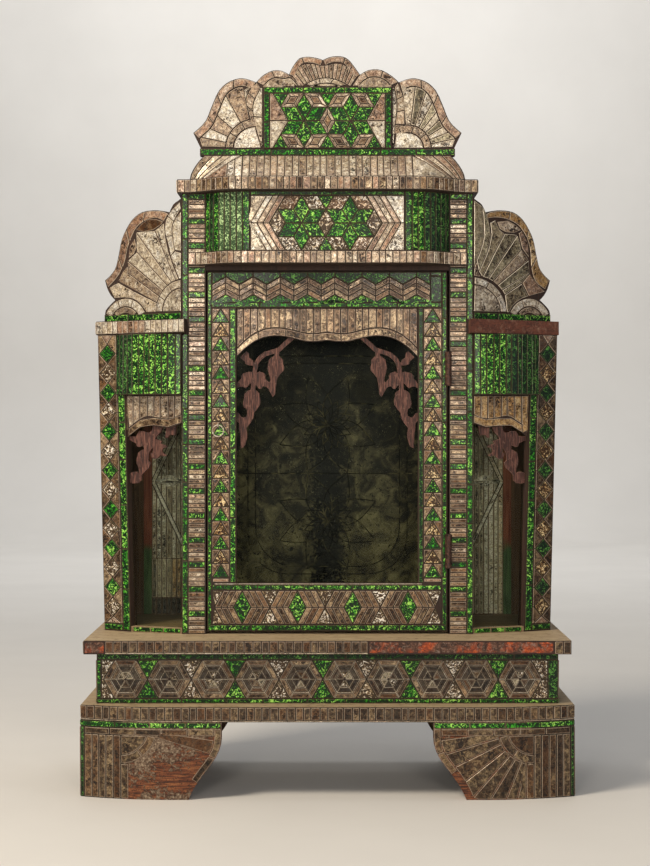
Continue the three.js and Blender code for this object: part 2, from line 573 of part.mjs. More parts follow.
// Wing tops: a swept shelf, a green rail on it and a shell-shaped crest board on the rail.
function wingTops() {
  const toCrest = (points, steps) => smooth(points, steps)
    .map(([u, z]) => [u * SIDE_CREST_WIDTH, z * SIDE_CREST_HEIGHT]);
  const outline = [
    ...toCrest([[0, 1], [0.05, 0.976], [0.11, 0.947], [0.16, 0.876]], 6),
    ...toCrest([[0.165, 0.873], [0.22, 0.893], [0.32, 0.908], [0.44, 0.909], [0.54, 0.893], [0.64, 0.84],
      [0.72, 0.757], [0.78, 0.663], [0.81, 0.562], [0.835, 0.479], [0.865, 0.411], [0.93, 0.352],
      [1, 0.311]], 26),
    ...toCrest([[1, 0.311], [0.968, 0.234], [0.92, 0.172], [0.864, 0.13]], 6),
    ...toCrest([[0.864, 0.13], [0.93, 0.089], [0.99, 0.041], [1, 0]], 6),
  ];
  const start = FRONT + SIDE_CREST_SETBACK;
  const swept = (geometry, side) => geometry.rotateZ(side * CREST_CANT).translate(side * WING_ROOT, start, 0);
  const made = [];
  for (const side of [-1, 1]) {
    const hand = side < 0 ? 'left' : 'right';
    const shelfPlan = mirrored([
      [SHELF_INNER, FRONT + SHELF_SETBACK],
      [SHELF_HALF, FRONT + SHELF_SETBACK + SHELF_SWEEP],
      [SHELF_HALF, PANEL_BACK],
      [WING_ROOT, PANEL_BACK],
      [WING_ROOT, PIER_FRONT - FIT],
      [SHELF_INNER, PIER_FRONT - FIT],
    ], side);
    const crest = board(mirrored([[0, 0], ...outline], side).map(([u, z]) => [u, z + Z_SIDE_CREST]),
      0, CREST_THICK);
    const railOutline = [[0, Z_SIDE_RAIL], [SIDE_CREST_WIDTH, Z_SIDE_RAIL],
      [SIDE_CREST_WIDTH, Z_SIDE_CREST], [0, Z_SIDE_CREST]];
    const railProud = (SIDE_RAIL_DEPTH - CREST_THICK) / 2;
    const rail = board(mirrored(railOutline, side), -railProud, SIDE_RAIL_DEPTH);
    made.push(
      named(`wing_shelf_${hand}`, prism(shelfPlan, Z_SHELF, Z_SIDE_RAIL), 'redWood'),
      named(`side_rail_${hand}`, cut(swept(rail, side), pierRelief(side)), 'greenGlass'),
      named(`side_crest_${hand}`, cut(swept(crest, side), pierRelief(side)), 'mosaic'),
    );
  }
  return made;
}

// Bowed fascia between two ogee-fronted cornices.
function fascia() {
  const lowerEdge = ogeeEdge(CORNICE_FLAT_HALF, LOWER_CORNICE_HALF, FRONT + LOWER_CORNICE_SETBACK,
    LOWER_CORNICE_BOW, CORNICE_EAR);
  const lower = prism([...lowerEdge, [LOWER_CORNICE_HALF, PIER_FRONT], [-LOWER_CORNICE_HALF, PIER_FRONT]],
    Z_LOWER_CORNICE, Z_FASCIA);
  const upperEdge = ogeeEdge(CORNICE_FLAT_HALF, UPPER_CORNICE_HALF, FRONT + UPPER_CORNICE_SETBACK,
    UPPER_CORNICE_BOW, CORNICE_EAR);
  const upper = prism([...upperEdge, [UPPER_CORNICE_HALF, PANEL_BACK], [-UPPER_CORNICE_HALF, PANEL_BACK]],
    Z_UPPER_CORNICE, Z_ROOF);
  const panelFront = FRONT + STAR_PANEL_SETBACK;
  const panel = box(-STAR_PANEL_HALF, STAR_PANEL_HALF, panelFront, panelFront + STAR_PANEL_THICK,
    Z_FASCIA, Z_UPPER_CORNICE);
  const made = [
    named('lower_cornice', lower, 'mosaic'),
    named('upper_cornice', upper, 'mosaic'),
    named('fascia_star_panel', panel, 'mosaic'),
  ];
  const depth = PIER_FRONT - panelFront;
  for (const side of [-1, 1]) {
    const run = OPENING_HALF - STAR_PANEL_HALF - 2 * FIT;
    const radius = (run * run + depth * depth) / (2 * depth);
    const bend = (inset) => {
      const points = [];
      for (let i = 0; i <= STEPS; i += 1) {
        const x = (run * i) / STEPS;
        const drop = radius - Math.sqrt(radius * radius - x * x);
        points.push([STAR_PANEL_HALF + FIT + x, panelFront + inset + drop]);
      }
      return points;
    };
    const plan = mirrored([...bend(0), ...bend(FASCIA_WALL).reverse()], side);
    const hand = side < 0 ? 'left' : 'right';
    made.push(named(`fascia_drum_${hand}`, prism(plan, Z_FASCIA, Z_UPPER_CORNICE), 'greenGlass'));
  }
  return made;
}

// Roof: a block of hipped, round-shouldered slopes; levels of one outline draw in towards the top.
function roof() {
  const front = FRONT + ROOF_FOOT_SETBACK;
  const level = (share) => {
    const half = ROOF_FOOT_HALF + (ROOF_TOP_HALF - ROOF_FOOT_HALF) * share ** 1.7;
    const rise = ROOF_SLOPE * share;
    const edge = ogeeEdge(ROOF_FLAT_HALF, half, front + rise, (UPPER_CORNICE_BOW - 4) * (1 - share), 1);
    return [...edge, [half, PANEL_BACK], [-half, PANEL_BACK]];
  };
  const levels = 5;
  const rings = [];
  for (let k = 0; k <= levels; k += 1) rings.push(level(k / levels));
  const count = rings[0].length;
  const positions = [];
  rings.forEach((ring, k) => {
    ring.forEach(([x, y]) => positions.push(x, y, Z_ROOF + (ROOF_HEIGHT * k) / levels));
  });
  const index = [];
  for (let k = 0; k < levels; k += 1) {
    for (let i = 0; i < count; i += 1) {
      const next = (i + 1) % count;
      const [a, b, c, d] = [k * count + i, k * count + next, (k + 1) * count + next, (k + 1) * count + i];
      index.push(a, b, c, a, c, d);
    }
  }
  const capOf = (ring) => THREE.ShapeUtils.triangulateShape(shapeOf(ring).getPoints(), []);
  const last = levels * count;
  capOf(rings[0]).forEach(([a, b, c]) => index.push(a, c, b));
  capOf(rings[levels]).forEach(([a, b, c]) => index.push(a + last, b + last, c + last));
  const block = new THREE.BufferGeometry();
  block.setAttribute('position', new THREE.Float32BufferAttribute(positions, 3));
  block.setIndex(index);
  block.computeVertexNormals();
  return named('roof_hood', block, 'mosaic');
}

// Top crest: a scalloped shell board on a green rail, with a framed star panel on its face.
function topCrest() {
  const railFront = FRONT + ROOF_FOOT_SETBACK + ROOF_SLOPE;
  const crestFront = railFront + (TOP_RAIL_DEPTH - CREST_THICK) / 2;
  const toCrest = (points, steps) => smooth(points, steps)
    .map(([x, z]) => [x * TOP_CREST_HALF, z * TOP_CREST_HEIGHT]);
  // The crown is cut by hand: its cusp stands left of the middle and its right lobe is the narrower.
  const crown = [
    ...toCrest([[-0.287, 0.802], [-0.265, 0.872], [-0.235, 0.937], [-0.205, 0.98], [-0.16, 0.993],
      [-0.116, 0.99], [-0.071, 0.977], [-0.034, 0.958]], 12),
    ...toCrest([[-0.034, 0.958], [0.004, 0.985], [0.048, 0.998], [0.093, 0.999], [0.13, 0.988],
      [0.168, 0.947], [0.205, 0.877], [0.242, 0.802]], 12).slice(1),
  ];
  const leftLobe = [[0.29, 0.806], [0.35, 0.845], [0.42, 0.84], [0.49, 0.782], [0.53, 0.72]];
  const rightLobe = [[0.245, 0.803], [0.295, 0.845], [0.36, 0.86], [0.42, 0.84], [0.49, 0.775], [0.53, 0.72]];
  const flank = [
    ...toCrest([[0.535, 0.72], [0.6, 0.753], [0.66, 0.76], [0.745, 0.716], [0.815, 0.615], [0.87, 0.433],
      [0.915, 0.287], [1, 0.171]], 18),
    [0.943 * TOP_CREST_HALF, 0],
  ];
  const leftEdge = mirrored([...toCrest(leftLobe, 9), ...flank], -1).reverse();
  const rightEdge = [...toCrest(rightLobe, 9), ...flank];
  const outline = [...leftEdge, ...crown, ...rightEdge].map(([x, z]) => [x, z + Z_TOP_CREST]);
  const rail = box(-TOP_RAIL_HALF, TOP_RAIL_HALF, railFront, railFront + TOP_RAIL_DEPTH,
    Z_TOP_RAIL, Z_TOP_CREST);
  const panel = box(-TOP_PANEL_HALF, TOP_PANEL_HALF, crestFront - TOP_PANEL_THICK, crestFront,
    Z_TOP_CREST, Z_TOP_CREST + TOP_PANEL_HEIGHT);
  return [
    named('top_rail', rail, 'greenGlass'),
    named('top_crest', board(outline, crestFront, CREST_THICK), 'mosaic'),
    named('top_star_panel', panel, 'greenGlass'),
  ];
}

// Door: four frame members rebated at the back for the pane, a valance and carved brackets in front.
function door() {
  const paneFront = DOOR_BACK - REBATE_DEPTH + FIT;
  const bite = REBATE_WIDTH;
  const stile = (x0, x1, r0, r1, name) => {
    const rebate = box(r0, r1, DOOR_BACK - REBATE_DEPTH, DOOR_BACK + 1, GLASS_FOOT - bite, GLASS_HEAD + bite);
    return named(name, cut(box(x0, x1, DOOR_FRONT, DOOR_BACK, DOOR_FOOT, DOOR_HEAD), rebate), 'mosaic');
  };
  const rail = (z0, z1, r0, r1, name) => {
    const blank = box(GLASS_LEFT, GLASS_RIGHT, DOOR_FRONT, DOOR_BACK, z0, z1);
    const rebate = box(GLASS_LEFT - 1, GLASS_RIGHT + 1, DOOR_BACK - REBATE_DEPTH, DOOR_BACK + 1, r0, r1);
    return named(name, cut(blank, rebate), 'mosaic');
  };
  const pane = box(GLASS_LEFT - bite + FIT, GLASS_RIGHT + bite - FIT, paneFront, paneFront + GLASS_THICK,
    GLASS_FOOT - bite + FIT, GLASS_HEAD + bite - FIT);
  const middle = (GLASS_LEFT + GLASS_RIGHT) / 2;
  const half = (GLASS_RIGHT - GLASS_LEFT) / 2 - FIT;
  const archHalf = smooth([[0, 0.658], [0.1, 0.685], [0.23, 0.685], [0.37, 0.623], [0.52, 0.575],
    [0.67, 0.592], [0.8, 0.685], [0.91, 0.836], [1, 1]], 24).map(([x, z]) => [x * half, -z * VALANCE_DROP]);
  const arch = [...mirrored(archHalf, -1).reverse(), ...archHalf.slice(1), [half, -FIT], [-half, -FIT]];
  const valanceFront = DOOR_FRONT + DOOR_VALANCE_INSET;
  const valance = board(arch.map(([x, z]) => [middle + x, GLASS_HEAD + z]), valanceFront, DOOR_VALANCE_THICK);
  const made = [
    stile(DOOR_LEFT, GLASS_LEFT, GLASS_LEFT - bite, GLASS_LEFT + 1, 'door_stile_left'),
    stile(GLASS_RIGHT, DOOR_RIGHT, GLASS_RIGHT - 1, GLASS_RIGHT + bite, 'door_stile_right'),
    rail(GLASS_HEAD, DOOR_HEAD, GLASS_HEAD - 1, GLASS_HEAD + bite, 'door_top_rail'),
    rail(DOOR_FOOT, GLASS_FOOT, GLASS_FOOT - bite, GLASS_FOOT + 1, 'door_bottom_rail'),
    named('door_glass', pane, 'clearGlass'),
    named('door_valance', valance, 'mosaic'),
  ];
  const outlines = [
    stalkOutline([[90, -38], [80, -46], [70, -55], [61, -63], [45, -67], [33, -76], [27, -90], [24, -126]],
      6.5),
    ...DOOR_FOLIAGE,
  ];
  for (const side of [-1, 1]) {
    const start = middle + side * (half + FIT);
    const place = ([x, z]) => [start - side * x, GLASS_HEAD + z];
    const carving = join(outlines.map((outline) => board(outline.map(place),
      valanceFront + DOOR_VALANCE_THICK + FIT, CARVING_THICK)));
    const sight = box(GLASS_LEFT + FIT, GLASS_RIGHT - FIT, DOOR_FRONT, DOOR_BACK, GLASS_FOOT, GLASS_HEAD);
    made.push(named(`door_bracket_${side < 0 ? 'left' : 'right'}`, overlap(carving, sight), 'redWood'));
  }
  return made;
}

function cylinder(radius, z0, z1) {
  return new THREE.CylinderGeometry(radius, radius, z1 - z0, 24).rotateX(Math.PI / 2)
    .translate(HINGE_X, HINGE_Y, (z0 + z1) / 2);
}

// Butt hinges: three knuckles each, the outer two and the pin on the pier, the middle one on the door.
function hinges() {
  const made = [];
  const leafBack = PIER_FRONT + HINGE_LEAF_DEPTH;
  const knuckle = (HINGE_HEIGHT - 2 * KNUCKLE_GAP) / 3;
  for (const [place, rise] of [['lower', HINGE_LOWER_RISE], ['upper', HINGE_UPPER_RISE]]) {
    const z0 = DOOR_FOOT + rise;
    const z1 = z0 + HINGE_HEIGHT;
    const middle0 = z0 + knuckle + KNUCKLE_GAP;
    const middle1 = z1 - knuckle - KNUCKLE_GAP;
    const pierLeaf = box(OPENING_HALF - HINGE_LEAF, OPENING_HALF, HINGE_Y, leafBack, z0, z1);
    const doorLeaf = box(DOOR_RIGHT, DOOR_RIGHT + HINGE_LEAF, HINGE_Y, leafBack, z0, z1);
    const turning = BARREL_RADIUS + KNUCKLE_GAP;
    const ends = join([cylinder(BARREL_RADIUS, z0, z0 + knuckle), cylinder(BARREL_RADIUS, z1 - knuckle, z1)]);
    const clearMiddle = cylinder(turning, z0 + knuckle, z1 - knuckle);
    const onPier = join([cut(pierLeaf, clearMiddle), ends, cylinder(PIN_RADIUS, z0, z1)]);
    const clearEnds = [cylinder(turning, z0 - 1, middle0), cylinder(turning, middle1, z1 + 1)];
    const bore = cylinder(PIN_RADIUS + KNUCKLE_GAP, z0 - 1, z1 + 1);
    const onDoor = cut(join([cut(doorLeaf, ...clearEnds), cylinder(BARREL_RADIUS, middle0, middle1)]), bore);
    made.push([named(`hinge_${place}_pier_leaf`, onPier, 'iron'),
      named(`hinge_${place}_door_leaf`, onDoor, 'iron')]);
  }
  return made;
}

// Ring pull: an eye driven into the door's closing stile, with a loose ring hanging through it.
function ringPull() {
  const x = DOOR_LEFT + EYE_INSET;
  const z = DOOR_FOOT + EYE_RISE;
  const holeRadius = RING_WIRE + FIT + 0.1;
  const eyeY = DOOR_FRONT - EYE_STANDOFF;
  const loop = new THREE.TorusGeometry(holeRadius + EYE_WIRE, EYE_WIRE, 8, 20).rotateY(Math.PI / 2)
    .translate(x, eyeY, z);
  const neck = holeRadius + EYE_WIRE;
  const shank = new THREE.CylinderGeometry(EYE_WIRE, EYE_WIRE, EYE_STANDOFF - neck, 10)
    .translate(x, eyeY + neck + (EYE_STANDOFF - neck) / 2, z);
  const ring = new THREE.TorusGeometry(RING_RADIUS, RING_WIRE, 8, 32).rotateX(Math.PI / 2)
    .translate(x, eyeY, z - RING_RADIUS);
  return [
    named('ring_eye', join([loop, shank]), 'iron'),
    named('pull_ring', ring, 'iron'),
  ];
}

const shrine = new THREE.Group();
const doorHinges = hinges();
const [ringEye, pullRing] = ringPull();
const doorLeaf = new THREE.Group();
doorLeaf.add(...door(), ...doorHinges.map(([, leaf]) => leaf), ringEye, pullRing);
shrine.add(...feet(), ...plinth(), ...carcass(), ...wingFronts(), ...wingTops(), ...fascia(), roof(),
  ...topCrest(), ...doorHinges.map(([leaf]) => leaf), doorLeaf);

export default shrine;
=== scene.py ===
"""House shrine of painted timber faced with strips of aged silvered glass and green foil glass."""
import math

import bmesh
import bpy
import numpy as np
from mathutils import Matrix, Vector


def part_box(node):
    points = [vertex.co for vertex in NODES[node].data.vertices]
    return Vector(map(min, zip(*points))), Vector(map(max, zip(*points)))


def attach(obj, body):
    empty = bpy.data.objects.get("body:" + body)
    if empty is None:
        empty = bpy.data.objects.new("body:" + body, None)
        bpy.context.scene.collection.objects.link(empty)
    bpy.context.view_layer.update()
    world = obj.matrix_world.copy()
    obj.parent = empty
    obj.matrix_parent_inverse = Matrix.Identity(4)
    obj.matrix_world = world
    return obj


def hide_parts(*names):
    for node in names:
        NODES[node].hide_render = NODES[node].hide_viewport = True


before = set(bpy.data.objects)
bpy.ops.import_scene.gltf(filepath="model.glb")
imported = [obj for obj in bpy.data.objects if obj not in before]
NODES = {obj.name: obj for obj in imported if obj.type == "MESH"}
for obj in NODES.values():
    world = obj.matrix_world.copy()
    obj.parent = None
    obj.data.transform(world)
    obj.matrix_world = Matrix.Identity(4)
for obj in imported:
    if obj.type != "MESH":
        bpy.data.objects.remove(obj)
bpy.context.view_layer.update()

MM = 0.001
rng = np.random.default_rng(1885)


def size_of(node):
    """Lowest and highest corner of a frame node, in millimetres."""
    low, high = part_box(node)
    return np.array(low) / MM, np.array(high) / MM


FOOT_LOW, FOOT_HIGH = size_of("foot_front_right")
LEDGE_LOW, LEDGE_HIGH = size_of("plinth_ledge")
FRIEZE_LOW, FRIEZE_HIGH = size_of("frieze_front")
ALTAR_LOW, ALTAR_HIGH = size_of("altar_ledge")
FLOOR_LOW, FLOOR_HIGH = size_of("cabinet_floor")
PIER_LOW, PIER_HIGH = size_of("pier_right")
POST_HIGH = size_of("corner_post_right")[1]
DRUM_LOW, DRUM_HIGH = size_of("wing_drum_right")
SHELF_LOW, SHELF_HIGH = size_of("wing_shelf_right")
RAIL_LOW, RAIL_HIGH = size_of("side_rail_right")
LOWER_LOW, LOWER_HIGH = size_of("lower_cornice")
FASCIA_LOW, FASCIA_HIGH = size_of("fascia_star_panel")
ROOF_LOW, ROOF_HIGH = size_of("roof_hood")
TOP_RAIL_LOW, TOP_RAIL_HIGH = size_of("top_rail")
CREST_LOW, CREST_HIGH = size_of("top_crest")
PANEL_LOW, PANEL_HIGH = size_of("top_star_panel")
STILE_LOW, STILE_HIGH = size_of("door_stile_left")
HINGE_STILE_LOW, HINGE_STILE_HIGH = size_of("door_stile_right")
HEAD_RAIL_LOW = size_of("door_top_rail")[0]
FOOT_RAIL_HIGH = size_of("door_bottom_rail")[1]
MIRROR_LOW, MIRROR_HIGH = size_of("back_mirror")
BACK_LOW = size_of("back_panel")[0]
PARTITION_HIGH = size_of("partition_right")[1]

# Canted wings: places in millimetres on the right-hand side, angles swung back from the front
WING_ROOT = 215.8
WING_FRONT = -61.5
WING_CANT = math.radians(19.35)
WING_LEAN = 10.5
POST_INNER = (294.0, -34.0)
POST_OUTER = (336.0, -10.0)
DRUM_START = (215.8, -74.0)
DRUM_END = (316.4, -27.2)
DRUM_RISE = 14.0
CREST_START = (215.8, -63.0)
CREST_CANT = math.radians(32.7)
DOOR_VALANCE_FRONT = -59.0

# Glass as it is cut and laid: strip widths, thicknesses, distance from a board's edge, joint, ground
# edge and width of its stain
STRIP = 10.6
LEDGE_STRIP = 11.6
GLASS = 1.3
THIN = 0.9
MARGIN = 0.4
JOINT = 1.45
EDGE = 0.55
STAIN = 1.5

# How far a tile's foot is sunk in the putty, and how far hand laying tilts its face
SEAT = 0.4
TILT = 0.25
TILT_LIMITS = (-0.35, 0.18)

HANDS = {-1: "left", 1: "right"}

# Crumpled foil under glass: width of its lumps, and how closely the creases follow one another
LUMP = 7.0
CREASES = 21.0


# Materials
# Every pattern's size is in millimetres, and a noise's scale is 1000 divided by it. None is finer than
# 2 mm, because a pixel of the photo covers 1.4 mm of the shrine's front.

def linear(hex_colour):
    """An sRGB hex colour as linear red, green, blue and alpha."""
    values = [int(hex_colour[i:i + 2], 16) / 255 for i in (1, 3, 5)]
    return [v / 12.92 if v <= 0.04045 else ((v + 0.055) / 1.055) ** 2.4 for v in values] + [1.0]


def put(tree, socket, value):
    """One input's value: a link, a hex colour or a plain value."""
    if isinstance(value, bpy.types.NodeSocket):
        tree.links.new(value, socket)
    else:
        socket.default_value = linear(value) if isinstance(value, str) else value


def add(tree, kind, sockets=(), output=0, stops=(), **settings):
    """One node with its settings, its inputs in order or by name, and the (position, hex colour) stops
    of a ramp. Gives one of its outputs."""
    made = tree.nodes.new("ShaderNode" + kind)
    for key, value in settings.items():
        setattr(made, key, value)
    named = sockets if isinstance(sockets, dict) else dict(enumerate(sockets))
    for key, value in named.items():
        put(tree, made.inputs[key], value)
    for position, colour in stops[2:]:
        made.color_ramp.elements.new(position)
    for element, (position, colour) in zip(made.color_ramp.elements if stops else (), stops):
        element.position = position
        element.color = linear(colour)
    return made.outputs[output]


def material(name):
    """A new material, its node tree and the place on the shrine."""
    made = bpy.data.materials.new(name)
    made.use_nodes = True
    return made, made.node_tree, add(made.node_tree, "TexCoord", output="Object")


def surface(made, base, rough, height=None, depth=0.0, **others):
    """A material's colour, roughness and other inputs, with relief of depth mm from a height of 0 to 1."""
    tree = made.node_tree
    if height is not None:
        others["Normal"] = add(tree, "Bump", {"Height": height, "Distance": depth * MM, "Strength": 1.0})
    for name, value in {"Base Color": base, "Roughness": rough, **others}.items():
        put(tree, tree.nodes["Principled BSDF"].inputs[name.replace("_", " ")], value)
    return made


def mottle(tree, place, size, detail=4, distortion=0.0, roughness=0.55, low=0.0, high=1.0):
    """Lumps about size mm across, spread so that low becomes 0 and high becomes 1."""
    lumps = add(tree, "TexNoise", {"Vector": place, "Scale": 1000 / size, "Detail": detail,
                                   "Distortion": distortion, "Roughness": roughness})
    return add(tree, "MapRange", (lumps, low, high))


def fibres(tree, place, squeeze, size, distortion, detail=6):
    """Wood fibres: lumps drawn out along the board, where the place is squeezed."""
    return mottle(tree, add(tree, "Mapping", {"Vector": place, "Scale": squeeze}), size, detail, distortion)


def weighted(tree, total, *parts):
    """A start value with masks added to it, each times its share."""
    for mask, share in parts:
        total = add(tree, "Math", (mask, share, total), operation="MULTIPLY_ADD")
    return total


def layer(tree, base, mask, over, share=1.0, blend="MIX"):
    """A colour laid over another one where a mask says, as strongly as its share."""
    strength = weighted(tree, 0.0, (mask, share))
    return add(tree, "Mix", {0: strength, 6: base, 7: over}, 2, data_type="RGBA", blend_type=blend)


def per_tile(tree, place):
    """Each tile's own place in the pattern, its three chances, tone, warmth and wear, and its rim."""
    chance = add(tree, "Attribute", output="Vector", attribute_name="tile")
    own = add(tree, "VectorMath", (chance, (3.1, 2.7, 3.7), place), operation="MULTIPLY_ADD")
    chances = [add(tree, "SeparateXYZ", (chance,), axis) for axis in "XYZ"]
    return own, *chances, add(tree, "Attribute", output="Fac", attribute_name="rim")


def silvered_glass(name, tones, warm, blotch, loss=0.5, metal=0.2, edge=0.45, stain=1.0):
    """Strips cut from mercury or silver mirror: the silvering has gone tan and grey in patches, black flecks
    with brown haloes show where it has come off, and the ground edges are painted pale as a highlight."""
    made, tree, place = material(name)
    own, tone, warmth, wear, rim = per_tile(tree, place)
    level = weighted(tree, 0.0, (tone, 0.42), (mottle(tree, own, 8, 5, 0.6, 0.6, 0.34, 0.64), 0.6))
    base = add(tree, "ValToRGB", (level,), stops=list(zip((0.15, 0.5, 0.85), tones)))
    base = layer(tree, base, add(tree, "MapRange", (warmth, 0.55, 1.5)), warm)
    patches = mottle(tree, own, 6, 6, 0.6, 0.6, 0.5, 0.6)
    base = layer(tree, base, patches, blotch, 0.7)
    grime = add(tree, "ValToRGB", (mottle(tree, own, 2.4, 5, 0.8, 0.6),),
                stops=[(0.38, "#847567"), (0.56, "#ffffff")])
    base = layer(tree, base, 1.0, grime, 0.8, "MULTIPLY")
    worst = mottle(tree, place, 20, 4, 0.6, low=0.4, high=0.64)
    flaking = weighted(tree, mottle(tree, own, 3.6, 8, 0.9, 0.68), (wear, 0.1), (worst, 0.19))
    cut = 0.78 - 0.07 * loss
    base = layer(tree, base, add(tree, "MapRange", (flaking, cut - 0.05, cut)), "#6f5038", 0.45)
    flecks = add(tree, "MapRange", (flaking, cut, cut + 0.02))
    base = layer(tree, base, flecks, "#1b1512", 0.92)
    browned = add(tree, "MapRange", (rim, 0.1, 0.7))
    browned = weighted(tree, 0.0, (browned, mottle(tree, own, 5, 3, low=0.3, high=0.7)))
    base = layer(tree, base, browned, "#6b4024", stain)
    # Painted highlight: a pale colour laid along the ground edges, as strong as the edge share
    base = layer(tree, base, add(tree, "MapRange", (rim, 0.8, 0.93)), "#f4e8d0", edge)
    relief = weighted(tree, mottle(tree, own, 7, 2), (flecks, -1.0))
    return surface(made, base, weighted(tree, 0.26, (patches, 0.2)), relief, 0.3, Metallic=metal,
                   Specular_IOR_Level=0.3, Coat_Weight=0.12, Coat_Roughness=0.15)


def foil_glass(name, colours, painted_shine_base=0.0, dim=0.5):
    """Glass over crumpled metal foil: its creases are the sine of slow lumps, with bright worm-shaped glints
    painted along them as painted reflections. The hollows between them stay almost black."""
    made, tree, place = material(name)
    own, tone, _, _, rim = per_tile(tree, place)
    lumps = weighted(tree, 0.0, (mottle(tree, own, LUMP, 3, 1.5), CREASES))
    crease = add(tree, "MapRange", (add(tree, "Math", (lumps,), operation="SINE"), -0.35, 0.8))
    broken = weighted(tree, 0.35, (mottle(tree, own, 3.4, 2, 0.6, low=0.36, high=0.58), 0.75))
    region = weighted(tree, 0.55, (mottle(tree, place, 34, 2, 0.4, low=0.32, high=0.55), 0.55))
    # Painted reflection: the creases' glints are painted into the colour, brighter in some regions and tiles
    light = weighted(tree, 0.0, (weighted(tree, 0.0, (crease, broken)), region))
    light = weighted(tree, painted_shine_base, (light, weighted(tree, 1.15 - dim, (tone, dim))))
    base = add(tree, "ValToRGB", (light,), stops=list(zip((0.02, 0.28, 0.55, 0.87), colours)))
    base = layer(tree, base, add(tree, "MapRange", (rim, 0.85, 0.95)), "#6d6a48", 0.45)
    return surface(made, base, 0.5, crease, 0.4, Metallic=0.15, Specular_IOR_Level=0.25, Coat_Weight=0.2,
                   Coat_Roughness=0.2)


def timber(name, pale, deep, squeeze, grain, flecks="#2b1a12", fleck_share=0.5):
    """Sawn timber: long fibres along the board, darker bands, scuffs and pin holes."""
    made, tree, place = material(name)
    fine = fibres(tree, place, squeeze, grain, 0.4)
    level = weighted(tree, 0.0, (fine, 0.6), (fibres(tree, place, squeeze, grain * 6, 1.2, 3), 0.4))
    base = add(tree, "ValToRGB", (level,), stops=[(0.34, deep), (0.64, pale)])
    scuff = mottle(tree, place, 9, 8, 0.8, 0.65, 0.62 - 0.1 * fleck_share, 0.74)
    return surface(made, layer(tree, base, scuff, flecks, 0.8), 0.72,
                   weighted(tree, fine, (scuff, -0.6)), 0.4)


def bare_foot_wood():
    """Red wood with the grey-pink putty that held lost glass still clinging to it in crumbs, most of all
    high up and outwards. It is dark behind the strips that are left."""
    made, tree, place = material("red_wood_with_putty_crumbs")
    fine = fibres(tree, place, (0.08, 1, 1), 2.4, 0.5)
    base = add(tree, "ValToRGB", (fine,), stops=[(0.38, "#3a2014"), (0.5, "#6f3c23"), (0.64, "#96603a")])
    level = add(tree, "MapRange", (add(tree, "SeparateXYZ", (place,), "Z"), 0.01, FOOT_HIGH[2] * MM))
    across = add(tree, "Math", (add(tree, "SeparateXYZ", (place,)),), operation="ABSOLUTE")
    strips = (FOOT_HIGH[0] - 66) * MM
    outward = add(tree, "MapRange", (across, (FOOT_LOW[0] + 40) * MM, strips))
    lift = weighted(tree, 0.0, (level, 0.6), (outward, 0.4))
    crumbs = weighted(tree, mottle(tree, place, 5, 9, 0.7, 0.7), (mottle(tree, place, 60, 2, 0.6), 0.8),
                      (lift, 0.34))
    putty = add(tree, "MapRange", (crumbs, 1.0, 1.08))
    tint = add(tree, "ValToRGB", (mottle(tree, place, 3, 6),),
               stops=[(0.35, "#54402f"), (0.55, "#846f5b"), (0.7, "#ac9b82")])
    base = layer(tree, base, putty, tint)
    base = layer(tree, base, mottle(tree, place, 2.8, 7, 0.8, 0.75, 0.53, 0.6), "#23130c", 0.85)
    base = layer(tree, base, add(tree, "MapRange", (across, strips, strips + 5 * MM)), "#22150e")
    return surface(made, base, 0.8, weighted(tree, putty, (fine, 0.35)), 0.8)


def ledge_boards(name, side_pale, side_deep):
    """Ledge boards: tops rubbed pale by use, edges dark where putty held the glass."""
    made, tree, place = material(name)
    fine = fibres(tree, place, (0.06, 1, 1), 2.6, 0.5)
    top = add(tree, "ValToRGB", (fine,), stops=[(0.3, "#8d7458"), (0.52, "#b09a7a"), (0.72, "#cbb995")])
    edge = add(tree, "ValToRGB", (fine,), stops=[(0.3, side_deep), (0.7, side_pale)])
    upward = add(tree, "SeparateXYZ", (add(tree, "NewGeometry", output="Normal"),), "Z")
    base = layer(tree, edge, add(tree, "MapRange", (upward, 0.4, 0.6)), top)
    dirt = mottle(tree, place, 11, 8, 0.7, 0.66, 0.54, 0.7)
    return surface(made, layer(tree, base, dirt, "#4d3524", 0.65), 0.75,
                   weighted(tree, fine, (dirt, -1.0)), 0.5)


def chipped_red_edge():
    """Edge of the altar board where the glass is gone: orange-red ground paint worn to brown."""
    made, tree, place = material("chipped_red_ground_paint")
    paint = mottle(tree, place, 7, 9, 1.2, 0.68)
    worn = add(tree, "ValToRGB", (paint,), stops=[(0.4, "#2e1d15"), (0.52, "#573829"), (0.66, "#826252")])
    fresh = add(tree, "ValToRGB", (paint,), stops=[(0.4, "#54261a"), (0.52, "#a0421b"), (0.66, "#cf6a30")])
    base = layer(tree, worn, mottle(tree, place, 42, 3, 0.5, low=0.48, high=0.58), fresh)
    base = layer(tree, base, mottle(tree, place, 4, 7, 0.8, low=0.56, high=0.66), "#8f7e72", 0.6)
    return surface(made, base, 0.78, paint, 1.0)


def carved_wood(name, pale_edge_share):
    """Fretted foliage, stained red-brown. Its edges are pale, partly where hands and dusters have rubbed it
    and partly as a painted highlight.
    """
    made, tree, place = material(name)
    fine = fibres(tree, place, (1, 1, 0.12), 2.0, 0.6)
    base = add(tree, "ValToRGB", (fine,), stops=[(0.36, "#27130e"), (0.5, "#4c2a21"), (0.66, "#7c5345")])
    # Wear and painted highlight: on the rounded edges a pale colour is laid
    base = layer(tree, base, mottle(tree, place, 6, 4, low=0.35, high=0.6), "#ac8370", pale_edge_share)
    base = layer(tree, base, mottle(tree, place, 4, 7, 0.5, low=0.58, high=0.72), "#94705f", 0.5)
    return surface(made, base, 0.62, fine, 0.9)


